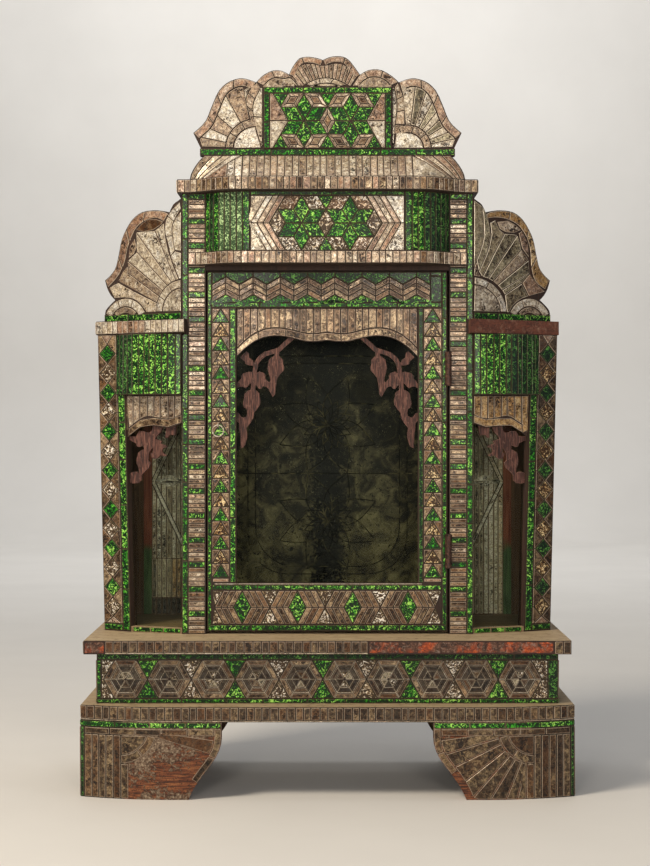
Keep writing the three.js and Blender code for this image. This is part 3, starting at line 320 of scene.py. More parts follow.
def rusty_iron():
    """Forged iron: dark scale under orange rust, which is the rougher of the two."""
    made, tree, place = material("rusted_forged_iron")
    rust = mottle(tree, place, 3.5, 8, 0.8, 0.65)
    base = add(tree, "ValToRGB", (rust,),
               stops=[(0.36, "#241b17"), (0.5, "#48322a"), (0.62, "#6d4b3e"), (0.75, "#8f6a58")])
    rough = add(tree, "ValToRGB", (rust,), stops=[(0.4, "#909090"), (0.6, "#d8d8d8")])
    return surface(made, base, rough, rust, 0.5, Metallic=0.55)


def worn_steel():
    """Steel of the pull ring, rubbed pale by hands, with brown rust left in its pits."""
    made, tree, place = material("hand_rubbed_steel")
    base = add(tree, "ValToRGB", (mottle(tree, place, 2.4, 6, 0.6),),
               stops=[(0.38, "#7d6a58"), (0.5, "#c9beae"), (0.66, "#f1e9db")])
    return surface(made, base, 0.35, Metallic=0.2)


def window_glass():
    """Old drawn window glass: clear, with a faint grey-green cast, smears of dust and wavy reflections."""
    made, tree, place = material("old_window_glass")
    surface(made, "#dfe6df", 0.05, mottle(tree, place, 90, 2), 0.12, Metallic=1.0)
    dust = mottle(tree, place, 30, 7, 1.0, low=0.5, high=0.75)
    share = weighted(tree, add(tree, "Fresnel", (1.2,)), (dust, 0.01))
    through = add(tree, "BsdfTransparent", ("#f7faf5",))
    both = add(tree, "MixShader", (share, through, tree.nodes["Principled BSDF"].outputs[0]))
    put(tree, tree.nodes["Material Output"].inputs["Surface"], both)
    return made


def dark_mirror():
    """Old mirror at the back of the cabinet: silvering gone black and olive, most of all down its middle,
    with grey-green bloom. It is painted darker towards its head and paler towards its foot, as painted shade
    under the valance."""
    made, tree, place = material("desilvered_mirror")
    across = add(tree, "Math", (add(tree, "SeparateXYZ", (place,)),), operation="ABSOLUTE")
    middle = add(tree, "MapRange", (across, 0.034, 0.012))
    level = add(tree, "SeparateXYZ", (place,), "Z")
    height = add(tree, "MapRange", (level, MIRROR_LOW[2] * MM, MIRROR_HIGH[2] * MM))
    patches = mottle(tree, place, 30, 8, 1.0, 0.62)
    # Painted shade: the share of height darkens the mirror towards its head, under the valance
    loss = weighted(tree, patches, (height, 0.36))
    base = add(tree, "ValToRGB", (loss,),
               stops=[(0.42, "#8d8463"), (0.54, "#5a5239"), (0.68, "#2a251b"), (0.84, "#0e0b08")])
    base = layer(tree, base, middle, "#15110c", 0.55)
    crumbs = weighted(tree, mottle(tree, place, 5.5, 8, 0.8, 0.66), (middle, 0.2))
    base = layer(tree, base, add(tree, "MapRange", (crumbs, 0.57, 0.62)), "#0b0908")
    where = mottle(tree, place, 26, 4, 0.8, low=0.44, high=0.6)
    base = layer(tree, base, mottle(tree, place, 2.6, 7, 0.9, 0.7, 0.58, 0.66), "#8d8566", where)
    rough = add(tree, "ValToRGB", (loss,), stops=[(0.4, "#707070"), (0.65, "#b0b0b0")])
    return surface(made, base, rough, patches, 0.3, Metallic=0.1, Specular_IOR_Level=0.15)


def etched_line():
    """Lines ground into the mirror: paler olive where the silvering is cut through."""
    made, tree, place = material("ground_mirror_line")
    worn = mottle(tree, place, 18, 4, 0.6)
    base = add(tree, "ValToRGB", (worn,), stops=[(0.5, "#100d09"), (0.7, "#6f6648")])
    return surface(made, base, 0.6, Specular_IOR_Level=0.15)


def side_boards():
    """Boards inside the wings and beside the cabinet: red-brown stain above and old green paint below on
    the faces turned inwards, plain dark stain on those turned outwards."""
    made, tree, place = material("stained_and_painted_side_boards")
    fine = fibres(tree, place, (1, 1, 0.06), 2.6, 0.4)
    red, green, plain = [add(tree, "ValToRGB", (fine,), stops=[(0.34, deep), (0.64, pale)]) for deep, pale in
                         (("#6b3222", "#9c5a42"), ("#36492b", "#5c774a"), ("#2e1c13", "#553826"))]
    worn = weighted(tree, add(tree, "SeparateXYZ", (place,), "Z"), (mottle(tree, place, 30, 5), 0.06))
    paint_top = (FLOOR_HIGH[2] + 110) * MM
    base = layer(tree, red, add(tree, "MapRange", (worn, paint_top + 0.035, paint_top + 0.015)), green)
    facing = add(tree, "SeparateXYZ", (add(tree, "NewGeometry", output="Normal"),))
    hand = add(tree, "Math", (add(tree, "SeparateXYZ", (place,)),), operation="SIGN")
    outward = weighted(tree, 0.0, (facing, hand))
    base = layer(tree, base, add(tree, "MapRange", (outward, 0.4, 0.6)), plain)
    return surface(made, base, 0.7, fine, 0.4)


# Each silvered glass: its dark, middle and pale tone, its warm tone and its blotches, then how it is worn
# and how strongly its painted edge highlight shows.
# Each foil glass: its hollows, middle tone, creases and painted glints, then the base of its painted shine
# and its range of tones.
# To the eye: silver is tan-grey, ash smoky and dark, tan dull brown, pearl nearly white, copper warm, gilt
# ochre, fog milky grey, night almost black, edge a bright line, haze the soft grey of the niches, painted
# paler as painted light; crinkle, rose and gold are painted worm-shaped glints of silver, pink and gold;
# green, deep and sage are the three greens. Ash, tan and deep are partly painted shade where they stand on
# low or shaded parts, and sage is a painted highlight.
GLASSES = {
    "silver": silvered_glass("aged_silvered_glass", ("#7d6c5f", "#c6b194", "#f8edd6"), "#cba480", "#7d726c"),
    # ash and tan, darker than silver, lie on the low parts partly as painted shade where the light falls off
    # towards the foot
    "ash": silvered_glass("smoked_silvered_glass", ("#231b14", "#524131", "#9f8968"), "#7d4f2a", "#3e3529",
                          0.8, edge=0.3, stain=0.7),
    "tan": silvered_glass("dulled_silvered_glass", ("#3e3126", "#7f684f", "#d4bb95"), "#a6764a", "#4a4036",
                          0.75, edge=0.35),
    "pearl": silvered_glass("bright_silvered_glass", ("#a3947f", "#ebdfc6", "#fffcf1"), "#e6cba3", "#8d8379",
                            0.4, edge=0.5, stain=0.6),
    "copper": silvered_glass("copper_toned_glass", ("#7a5f4e", "#bd9d83", "#f0ddc6"), "#c08d66", "#80706a",
                             0.25),
    "gilt": silvered_glass("gilt_backed_glass", ("#8f6c42", "#c39d66", "#ecce9a"), "#cf9854", "#9a876f"),
    "fog": silvered_glass("clouded_plate_glass", ("#4f493b", "#958b70", "#d2c7a7"), "#90795a", "#5d5c50",
                          0.6, edge=0.85, stain=0.5),
    "night": silvered_glass("blackened_mirror_glass", ("#0f0d0b", "#231f1a", "#655c4e"), "#3a2c22", "#3c3a36",
                            0.3, 0.3, edge=0.1, stain=0.25),
    "edge": silvered_glass("bright_ground_slips", ("#c9b99b", "#eaddc2", "#fff6e6"), "#d3b48a", "#9a8f80",
                           0.1, edge=0.6, stain=0.0),
    "crinkle": foil_glass("silver_foil_glass", ("#2b1f15", "#80664a", "#dfcaa5", "#fffaf0"), 0.06, 0.3),
    "rose": foil_glass("rose_foil_glass", ("#38261a", "#906c4e", "#e2c29c", "#fff4e4"), 0.08, 0.3),
    # haze is painted paler than the niches' glass, as painted light for the light that hardly reaches the
    # deep niches
    "haze": silvered_glass("greyed_niche_glass", ("#b4a98e", "#f0e5cb", "#fffaee"), "#cda878", "#a3a090",
                           0.35, 0.05, edge=0.5, stain=0.25),
    "gold": foil_glass("gold_foil_glass", ("#27190e", "#71502f", "#bb925c", "#f3dcab"), 0.06, 0.35),
    "green": foil_glass("green_foil_glass", ("#061e0a", "#15650f", "#36a820", "#b0ea6c"), 0.03),
    "deep": foil_glass("dark_green_foil_glass", ("#0a1c0e", "#1b411a", "#2f6c26", "#6aa84a"), 0.03),
    "sage": foil_glass("pale_green_foil_glass", ("#33492f", "#5c7a50", "#8aad72", "#c3e0a4"), 0.06, 0.3),
}
KINDS = list(GLASSES)
CARVED = carved_wood("stained_carved_wood", 0.0)
CARVED_EDGE = carved_wood("rubbed_and_highlit_edge_of_carved_wood", 0.9)
IRON = rusty_iron()
RING_STEEL = worn_steel()
PANE = window_glass()
UPRIGHT, ACROSS = (1, 1, 0.06), (0.06, 1, 1)
PUTTY = timber("lacquered_setting_wood", "#3d2619", "#1f130d", UPRIGHT, 2.4)
RED_WOOD = side_boards()
BACK_WOOD = timber("plain_back_boards", "#6d5038", "#463020", UPRIGHT, 3.0)
SHELF_WOOD = timber("bare_shelf_board", "#75422f", "#43231a", ACROSS, 2.4, "#9d7a64", 0.9)
FLOOR_WOOD = timber("rubbed_floor_boards", "#a48d6c", "#7a6244", ACROSS, 2.6)
FOOT_WOOD = bare_foot_wood()
LEDGE_WOOD = ledge_boards("rubbed_ledge_boards", "#2c1c13", "#140c08")
ALTAR_WOOD = ledge_boards("rubbed_altar_boards", "#3d2217", "#1d100b")
CHIPPED = chipped_red_edge()
MIRROR = dark_mirror()
ETCHED = etched_line()


# Shapes

def new_piece(name, points, faces, materials, body, kinds=None, tile=None, rim=None):
    """A piece from points in millimetres, with its finishes, riding on its body."""
    mesh = bpy.data.meshes.new(name)
    mesh.from_pydata((np.asarray(points) * MM).tolist(), [], faces)
    for finish in materials:
        mesh.materials.append(finish)
    if kinds is not None:
        mesh.polygons.foreach_set("material_index", np.asarray(kinds, np.int32))
    if tile is not None:
        chances = mesh.attributes.new("tile", "FLOAT_VECTOR", "POINT")
        chances.data.foreach_set("vector", np.asarray(tile, np.float32).ravel())
    if rim is not None:
        edge = mesh.attributes.new("rim", "FLOAT", "POINT")
        edge.data.foreach_set("value", np.asarray(rim, np.float32))
    mesh.update()
    made = bpy.data.objects.new(name, mesh)
    bpy.context.scene.collection.objects.link(made)
    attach(made, body)
    return made


def drawn_in(corners, reach):
    """Every edge of each tile moved inwards by reach, corners following their mitres."""
    before = corners - np.roll(corners, 1, axis=1)
    after = np.roll(corners, -1, axis=1) - corners
    units = [e / np.maximum(np.linalg.norm(e, axis=2, keepdims=True), 1e-9) for e in (before, after)]
    inward = [np.stack([-u[..., 1], u[..., 0]], -1) for u in units]
    overlap = (inward[0] * inward[1]).sum(2, keepdims=True)
    mitre = (inward[0] + inward[1]) / np.maximum(1 + overlap, 0.25)
    return corners + np.asarray(reach).reshape(-1, 1, 1) * mitre


def counter_clockwise(corners):
    """Tiles with their corners set counter-clockwise, and the area of each."""
    corners = np.asarray(corners, float)
    after = np.roll(corners, -1, axis=1)
    area = (corners[..., 0] * after[..., 1] - after[..., 0] * corners[..., 1]).sum(1) / 2
    return np.where((area < 0)[:, None, None], corners[:, ::-1], corners), np.abs(area)


def tile_solids(place, corners, thick):
    """Tiles as bevelled solids: each outline drawn in at its joint, its ground edge and its stain.
    Gives the points, the four-sided walls, the two ends of each tile, its chances and its rim."""
    corners, area = counter_clockwise(corners)
    around = np.linalg.norm(np.roll(corners, -1, axis=1) - corners, axis=2).sum(1)
    width = 2 * area / around
    outline = drawn_in(corners, np.minimum(JOINT / 2, width * 0.2))
    crown = drawn_in(outline, np.minimum(EDGE, width * 0.15))
    heart = drawn_in(crown, np.minimum(STAIN, width * 0.3))
    count, sides = corners.shape[:2]
    slope = rng.uniform(-1, 1, (count, 1, 2)) * TILT / np.maximum(width, 3)[:, None, None]
    middle = corners.mean(1, keepdims=True)
    rings = []
    for ring, height in ((outline, -SEAT), (outline, thick - EDGE), (crown, thick), (heart, thick)):
        tilt = ((ring - middle) * slope).sum(2) if height > 0 else 0.0
        rings.append(place(ring[..., 0], ring[..., 1], height + np.clip(tilt, *TILT_LIMITS)))
    points = np.stack(rings, axis=1).reshape(-1, 3)
    base = (np.arange(count) * 4 * sides)[:, None]
    step = np.arange(sides)
    nxt = np.roll(step, -1)
    walls = np.concatenate([
        np.stack([base + k * sides + step, base + k * sides + nxt, base + (k + 1) * sides + nxt,
                  base + (k + 1) * sides + step], -1).reshape(-1, 4) for k in range(3)])
    ends = np.concatenate([base + 3 * sides + step, base + step[::-1]])
    chance = np.repeat(rng.uniform(0, 1, (count, 3)), 4 * sides, axis=0)
    rim = np.tile(np.repeat([0.4, 1.0, 1.0, 0.0], sides), count)
    return points, walls, ends, chance, rim


def lay(name, face, rows, side=1, body="cabinet"):
    """One piece of glass laid on a face, from rows of tiles and their kind. A row may go on with its
    thickness and with a face of its own. The left-hand side is the right-hand one seen in a mirror."""
    points, faces, kinds, tiles, rims = [], [], [], [], []
    used = sorted({row[1] for row in rows}, key=KINDS.index)
    start = 0
    for row in rows:
        corners, kind, thick, place = (*row, *(GLASS, face)[len(row) - 2:])
        solids, walls, ends, chance, rim = tile_solids(place, corners, thick)
        points.append(solids * [side, 1, 1])
        faces += (walls[:, ::side] + start).tolist() + (ends[:, ::side] + start).tolist()
        kinds += [used.index(kind)] * (len(walls) + len(ends))
        tiles.append(chance)
        rims.append(rim)
        start += len(solids)
    return new_piece(name, np.concatenate(points), faces, [GLASSES[k] for k in used], body, kinds,
                     np.concatenate(tiles), np.concatenate(rims))


# Faces that glass is laid on: each takes a place along, a level and a height off the face

def wall(line, by_x=False, lean=0.0):
    """A face standing on a plan line, reached by its length along the line or by x."""
    line = np.asarray(line, float)
    run = np.diff(line, axis=0)
    out = np.c_[run[:, 1], -run[:, 0]] / np.linalg.norm(run, axis=1, keepdims=True)
    corner = np.vstack([out[:1], out[:-1] + out[1:], out[-1:]])
    corner /= np.linalg.norm(corner, axis=1, keepdims=True)
    way = line[:, 0] if by_x else way_along(line)

    def place(along, level, height):
        """Points at a height off the line, along the bisector at its corners, leaning with the level."""
        x = np.interp(along, way, line[:, 0]) + np.interp(along, way, corner[:, 0]) * height
        y = np.interp(along, way, line[:, 1]) + np.interp(along, way, corner[:, 1]) * height
        x = x + lean * (level - FLOOR_LOW[2]) / (POST_HIGH[2] - FLOOR_LOW[2])
        return np.stack([x, y, np.broadcast_to(level, np.shape(x))], -1)

    return place


def way_along(line):
    """Length travelled at each point of a line."""
    steps = np.linalg.norm(np.diff(np.asarray(line, float), axis=0), axis=1)
    return np.concatenate([[0], np.cumsum(steps)])


def flat_front(y):
    """An upright face at depth y, reached by x."""
    return wall([(-400, y), (400, y)], by_x=True)


def canted(start, angle):
    """An upright face from a start point, swung back by an angle, reached by its length."""
    return wall([start, (start[0] + 300 * math.cos(angle), start[1] + 300 * math.sin(angle))])


def points_of(node):
    """A frame node's points, in millimetres."""
    points = np.zeros(len(NODES[node].data.vertices) * 3)
    NODES[node].data.vertices.foreach_get("co", points)
    return points.reshape(-1, 3) / MM


def limits(places, values, pick=np.min):
    """At each place, rounded to 0.1 mm and in rising order, the lowest or highest value."""
    found, where = np.unique(np.round(places, 1), return_inverse=True)
    return np.c_[found, [pick(values[where.ravel() == k]) for k in range(len(found))]]


def level_edge(node, level):
    """Foremost line of a node at one level."""
    points = points_of(node)
    points = points[np.isclose(points[:, 2], level, atol=0.05)]
    return limits(points[:, 0], points[:, 1])


def foot_front():
    """Front line of a front foot's top, which follows the ledge above it."""
    points = points_of("foot_front_right")
    points = points[np.isclose(points[:, 2], FOOT_HIGH[2], atol=0.05)]
    ledge = level_edge("plinth_ledge", LEDGE_HIGH[2])
    points = points[points[:, 1] < np.interp(points[:, 0], ledge[:, 0], ledge[:, 1]) + 5]
    return limits(points[:, 0], points[:, 1])


def raised(face, by):
    """A face whose levels are counted from by."""
    return lambda along, level, height: face(along, np.asarray(level) + by, height)


def raised_off(face, by):
    """A face moved outwards by a height."""
    return lambda along, level, height: face(along, level, np.asarray(height) + by)


def bowed(start, end, rise, steps=12):
    """A shallow parabola between two plan points, standing out by rise at its middle."""
    share = np.linspace(0, 1, steps + 1)[:, None]
    start, end = np.array(start), np.array(end)
    chord = end - start
    out = np.array([chord[1], -chord[0]]) / np.linalg.norm(chord)
    return start + chord * share + out * 4 * rise * share * (1 - share)


def slope_front(node):
    """A sloping front face built in levels, reached by x and level: it leans between the level lines."""
    points = points_of(node)
    levels = np.unique(np.round(points[:, 2], 2))
    lines = [level_edge(node, z) for z in levels]

    def depth(x, z):
        """Depth of the front between its level lines."""
        table = np.stack([np.interp(x, line[:, 0], line[:, 1]) for line in lines])
        place = np.clip((z - levels[0]) / (levels[-1] - levels[0]) * (len(levels) - 1), 0, len(levels) - 1)
        low = np.minimum(place.astype(int), len(levels) - 2)
        share = place - low
        pick = np.take_along_axis
        return (pick(table, low[None], 0) * (1 - share) + pick(table, low[None] + 1, 0) * share)[0]

    def place(x, z, height):
        """Points at a height along the front's own normal."""
        x, z = np.broadcast_arrays(np.asarray(x, float), np.asarray(z, float))
        y = depth(x, z)
        across = depth(x + 0.5, z) - depth(x - 0.5, z)
        upward = depth(x, np.minimum(z + 0.5, levels[-1])) - depth(x, np.maximum(z - 0.5, levels[0]))
        normal = np.stack([across, -np.ones_like(y), upward], -1)
        normal /= np.linalg.norm(normal, axis=-1, keepdims=True)
        return np.stack([x, y, z], -1) + normal * np.asarray(height)[..., None]

    return place


# Ways of cutting tiles, as (tile, corner, place and level)

def uneven(start, stop, count, wander=0.1):
    """Even divisions, each shifted a little as hand-cut glass is."""
    edges = np.linspace(start, stop, count + 1)
    edges[1:-1] += rng.uniform(-wander, wander, count - 1) * (stop - start) / count
    return edges


def cut(start, stop, pitch):
    """Uneven divisions about a pitch apart."""
    return uneven(start, stop, max(1, round(abs(stop - start) / pitch)))


def cells(x0, x1, z0, z1):
    """Four-cornered tiles from their sides, feet and heads."""
    corners = np.broadcast_arrays(x0, z0, x1, z0, x1, z1, x0, z1)
    return np.stack(corners, -1).reshape(-1, 4, 2).astype(float)


def upright(x0, x1, z0, z1, pitch=STRIP):
    """Upright strips side by side."""
    edges = cut(x0, x1, pitch)
    return cells(edges[:-1], edges[1:], z0, z1)


def stacked(x0, x1, z0, z1, pitch):
    """Tiles one above another."""
    edges = cut(z0, z1, pitch)
    return cells(x0, x1, edges[:-1], edges[1:])


def hung(x0, x1, head, foot_line, pitch=STRIP, steps=3):
    """Upright strips under a level head whose feet follow a line of (x, level)."""
    edges = cut(x0, x1, pitch)
    share = np.linspace(0, 1, steps + 1)
    x = edges[:-1, None] + (edges[1:] - edges[:-1])[:, None] * share
    z = np.interp(x, foot_line[:, 0], foot_line[:, 1])
    heads = np.stack([x[:, [-1, 0]], np.full((len(x), 2), head)], -1)
    return np.concatenate([np.stack([x, z], -1), heads], axis=1)


def resampled(line, count):
    """A line as count + 1 points spaced evenly along it."""
    way = way_along(line)
    at = np.linspace(0, way[-1], count + 1)
    return np.c_[np.interp(at, way, line[:, 0]), np.interp(at, way, line[:, 1])]


def beside(line, distance):
    """A line moved sideways, to its left, by distance."""
    run = np.gradient(np.asarray(line, float), axis=0)
    run /= np.linalg.norm(run, axis=1, keepdims=True)
    return line + distance * np.c_[-run[:, 1], run[:, 0]]


def band(first, second, count, steps=4):
    """Curved tiles end to end between two lines that run the same way."""
    a, b = resampled(first, count * steps), resampled(second, count * steps)
    take = np.arange(count)[:, None] * steps + np.arange(steps + 1)
    return np.concatenate([a[take], b[take][:, ::-1]], axis=1)


def lengthwise(x0, x1, z0, z1, pitch):
    """Long pieces end to end, with points along them so that they follow a bowed face."""
    return band(np.array([(x0, z0), (x1, z0)]), np.array([(x0, z1), (x1, z1)]),
                max(1, round((x1 - x0) / pitch)), 5)


def arc(centre, radius, start, stop, steps=8):
    """Points on a circle from one angle to another, in degrees."""
    turn = np.radians(np.linspace(start, stop, steps + 1))
    return np.asarray(centre) + radius * np.c_[np.cos(turn), np.sin(turn)]


def ring_part(centre, inner, outer, start, stop, count, steps=4):
    """Curved tiles between two circles, from one angle to another, in degrees."""
    near, far = [arc(centre, radius, start, stop, count * steps) for radius in (inner, outer)]
    return band(near, far, count, steps)


def fan(centre, edges, inner, reach, steps=3):
    """Strips spreading from a centre between angles, from an inner radius out to a reach."""
    edges = np.radians(np.asarray(edges, float))
    share = np.linspace(0, 1, steps + 1)
    turn = edges[:-1, None] + (edges[1:] - edges[:-1])[:, None] * share
    circle = np.stack([np.cos(turn), np.sin(turn)], -1)
    near = centre + circle * inner
    far = centre + circle * reach(turn)[..., None]
    return np.concatenate([near, far[:, ::-1]], axis=1)


def reach_to(centre, line):
    """Distance from a centre to a line round it, by angle."""
    away = resampled(line, 120) - centre
    turn = np.unwrap(np.arctan2(away[:, 1], away[:, 0]))
    turn += 2 * np.pi * (turn.mean() < 0)
    order = np.argsort(turn)
    distance = np.linalg.norm(away, axis=1)
    return lambda angle: np.interp(angle, turn[order], distance[order])


def polygons(*outlines):
    """Tiles given corner by corner, all with the same number of corners."""
    return np.array(outlines, float)


def mirrored(corners):
    """Tiles or a line on the other side of the middle."""
    return np.asarray(corners) * [-1, 1]


def mitred(corners, width):
    """Each tile split into strips along its edges and a heart: (strips, hearts)."""
    corners = counter_clockwise(corners)[0]
    heart = drawn_in(corners, np.full(len(corners), width))
    strips = np.stack([corners, np.roll(corners, -1, 1), np.roll(heart, -1, 1), heart], axis=2)
    return strips.reshape(-1, 4, 2), heart


def spline(points, steps=8):
    """A smooth line through points (Catmull-Rom)."""
    p = np.asarray(points, float)
    p = np.vstack([2 * p[0] - p[1], p, 2 * p[-1] - p[-2]])
    t = np.linspace(0, 1, steps, endpoint=False)[:, None]
    parts = [0.5 * (2 * b + (c - a) * t + (2 * a - 5 * b + 4 * c - d) * t ** 2
                    + (3 * b - a - 3 * c + d) * t ** 3) for a, b, c, d in zip(p, p[1:], p[2:], p[3:])]
    return np.vstack(parts + [p[-2:-1]])


# Feet and ledges

def foot_glass(side):
    """Front foot: upright strips at the outside, a quarter disc, a fan and a band along the sawn edge.
    The left foot has lost most of its fan."""
    front = wall(foot_front(), by_x=True)
    outline = points_of("foot_front_right")
    edge = limits(outline[:, 2], outline[:, 0])[:, ::-1]
    inner, outer, top = FOOT_LOW[0], FOOT_HIGH[0], FOOT_HIGH[2]
    strip_head, tan_head = top - 19.5, top - 9.4
    strips_in, strips_out = outer - 60.5, outer - 6.3
    centre = np.array([outer - 59.0, top - 6.0])
    disc, ring = 42.0, 54.5
    foot_line = resampled(np.vstack([edge[edge[:, 1] < tan_head], [[edge[-1, 0], tan_head]]]), 60)
    band_outer = foot_line[foot_line[:, 1] > (36 if side > 0 else 23)]
    band_inner = beside(band_outer, -10.2)
    rows = [
        (lengthwise(inner + 0.5, outer, tan_head + 0.3, top - 0.4, 46), "green", THIN),
        (lengthwise(inner + 11, strips_out, strip_head, tan_head, 38), "ash"),
        (stacked(strips_out + 0.5, outer - 0.4, 0.6, tan_head, 52), "deep", THIN),
        (upright(strips_in, strips_out, 0.6, strip_head, 10.9), "ash"),
        (cells(strips_in - 11.5, strips_in, 0.6, 50.5), "ash"),
        (band(band_outer, band_inner, 2), "ash"),
    ]
    disc_edge = arc(centre, disc, 199, 267)
    rows.append((polygons([*disc_edge, (strips_in, strip_head)]), "ash"))
    rows.append((ring_part(centre, disc, ring, 197, 268, 2), "ash"))
    limit_inner = beside(foot_line, -10.2)
    limit = np.vstack([[limit_inner[0, 0] + 0.5, 0.6], limit_inner[1:]])[::-1]
    limit = np.vstack([limit, [[strips_in - 11.5, 0.6]]])
    reach = reach_to(centre, limit)
    wedges = fan(centre, 180 + np.array([8, 17, 26.5, 38, 48.5, 58, 68, 76]), ring + 0.4, reach)
    rows.append((wedges if side > 0 else wedges[:1], "ash"))
    if side > 0:
        last = arc(centre, ring + 0.4, 256, 256, 0)[0]
        foot_x = centre[0] - (centre[1] - 0.6) / math.tan(math.radians(76))
        rows.append((polygons([last, (foot_x, 0.6), (strips_in - 11.5, 0.6), (strips_in - 11.5, 51)]), "ash"))
    lay(f"foot_front_{HANDS[side]}_glass", front, rows, side)


def foot_returns(side):
    """Glass round the outer sides of the front and back feet: upright strips below a green band."""
    outline = points_of("foot_front_right")
    flank = outline[outline[:, 0] > FOOT_HIGH[0] - 0.1]
    edge = limits(flank[:, 2], flank[:, 1], np.max)[:, ::-1]
    corner = level_edge("foot_front_right", FOOT_HIGH[2])[-1]
    foot_line = edge[np.argsort(edge[:, 0])]
    for end in ("front", "back"):
        if end == "front":
            face = wall([tuple(corner), (corner[0], 0)])
            along = np.c_[foot_line[:, 0] - corner[1], foot_line[:, 1]]
            start, stop = 0.6, along[-1, 0]
            line = np.vstack([[0, 0.6], [along[0, 0], 0.6], along])
        else:
            back = size_of("foot_back_right")[1][1]
            face = wall([(corner[0], 0), (corner[0], back)])
            reach = back - (foot_line[:, 0] - FOOT_LOW[1])
            along = np.c_[reach, foot_line[:, 1]][::-1]
            start, stop = along[0, 0], back - 0.6
            line = np.vstack([along, [[along[-1, 0], 0.6], [back, 0.6]]])
        rows = [
            (upright(start, stop, FOOT_HIGH[2] - 9, FOOT_HIGH[2] - MARGIN, 42), "green", THIN),
            (hung(start + 0.4, stop - 0.4, FOOT_HIGH[2] - 9.8, line, 10.9), "ash"),
        ]
        lay(f"foot_{end}_{HANDS[side]}_side_glass", face, rows, side)


def plinth_ledge():
    """Lower ledge: its board drawn in behind the glass, upright strips and a thin bright foot strip."""
    low, high = LEDGE_LOW, LEDGE_HIGH
    line = level_edge("plinth_ledge", high[2])
    setback = GLASS + 0.8
    inward = beside(line, setback)
    inward[:, 0] = np.clip(inward[:, 0], low[0] + setback, high[0] - setback)
    plan = np.vstack([inward, [[high[0] - setback, high[1]], [low[0] + setback, high[1]]]])
    count = len(plan)
    points = np.c_[np.vstack([plan, plan]), np.repeat([low[2], high[2]], count)]
    step = np.arange(count)
    nxt = np.roll(step, -1)
    sides = np.c_[step, nxt, nxt + count, step + count].tolist()
    faces = sides + [list(range(count))[::-1], list(range(count, 2 * count))]
    board = new_piece("plinth_ledge_board", points, faces, [LEDGE_WOOD], "cabinet")
    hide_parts("plinth_ledge")
    edge = beside(line, 0.7 + GLASS)
    face = wall(edge)
    length = way_along(edge)[-1]
    foot = 2.2
    rows = [
        (upright(0.5, length - 0.5, low[2] + foot, high[2] - 0.3, LEDGE_STRIP), "ash"),
        (lengthwise(0.5, length - 0.5, low[2] + 0.2, low[2] + foot, 38), "silver"),
    ]
    lay("plinth_ledge_glass", face, rows)
    for side in (-1, 1):
        flank = wall([(high[0] - setback, line[-1, 1] + 2), (high[0] - setback, high[1])])
        rows = [(upright(0.5, high[1] - line[-1, 1] - 3, low[2] + foot, high[2] - 0.3), "ash")]
        lay(f"plinth_ledge_{HANDS[side]}_side_glass", flank, rows, side)


def hexagon_tiles(centre, half_width, half_height):
    """A hexagon of six sectors, each of strips parallel to its outer edge: {kind: tiles}."""
    turn = np.radians(np.arange(0, 361, 60))
    corners = np.c_[np.cos(turn) * half_width, np.sin(turn) * half_height / math.sin(math.pi / 3)]
    laid = {kind: [] for kind in ("tan", "ash", "night", "crinkle", "fog", "edge")}
    core = 0.4
    for a, b in zip(corners, corners[1:]):
        outer = "tan" if rng.random() < 0.45 else "ash"
        inner = "ash" if rng.random() < 0.2 else "night"
        for low, high, kind in ((0.72, 1.0, outer), (0.67, 0.715, "edge"), (0.45, 0.665, inner),
                                (0.405, 0.445, "edge")):
            laid[kind].append([a * low, a * high, b * high, b * low])
        heart = rng.choice(["night", "fog", "ash", "crinkle"], p=[0.4, 0.2, 0.25, 0.15])
        laid[heart].append([a * 0, a * core, (a + b) / 2 * core, b * core])
        slip = np.array([-a[1], a[0]]) / np.linalg.norm(a) * 0.55
        laid["edge"].append([a * 0.05 - slip, a * 0.97 - slip, a * 0.97 + slip, a * 0.05 + slip])
    return {kind: np.array(tiles) + centre for kind, tiles in laid.items() if tiles}


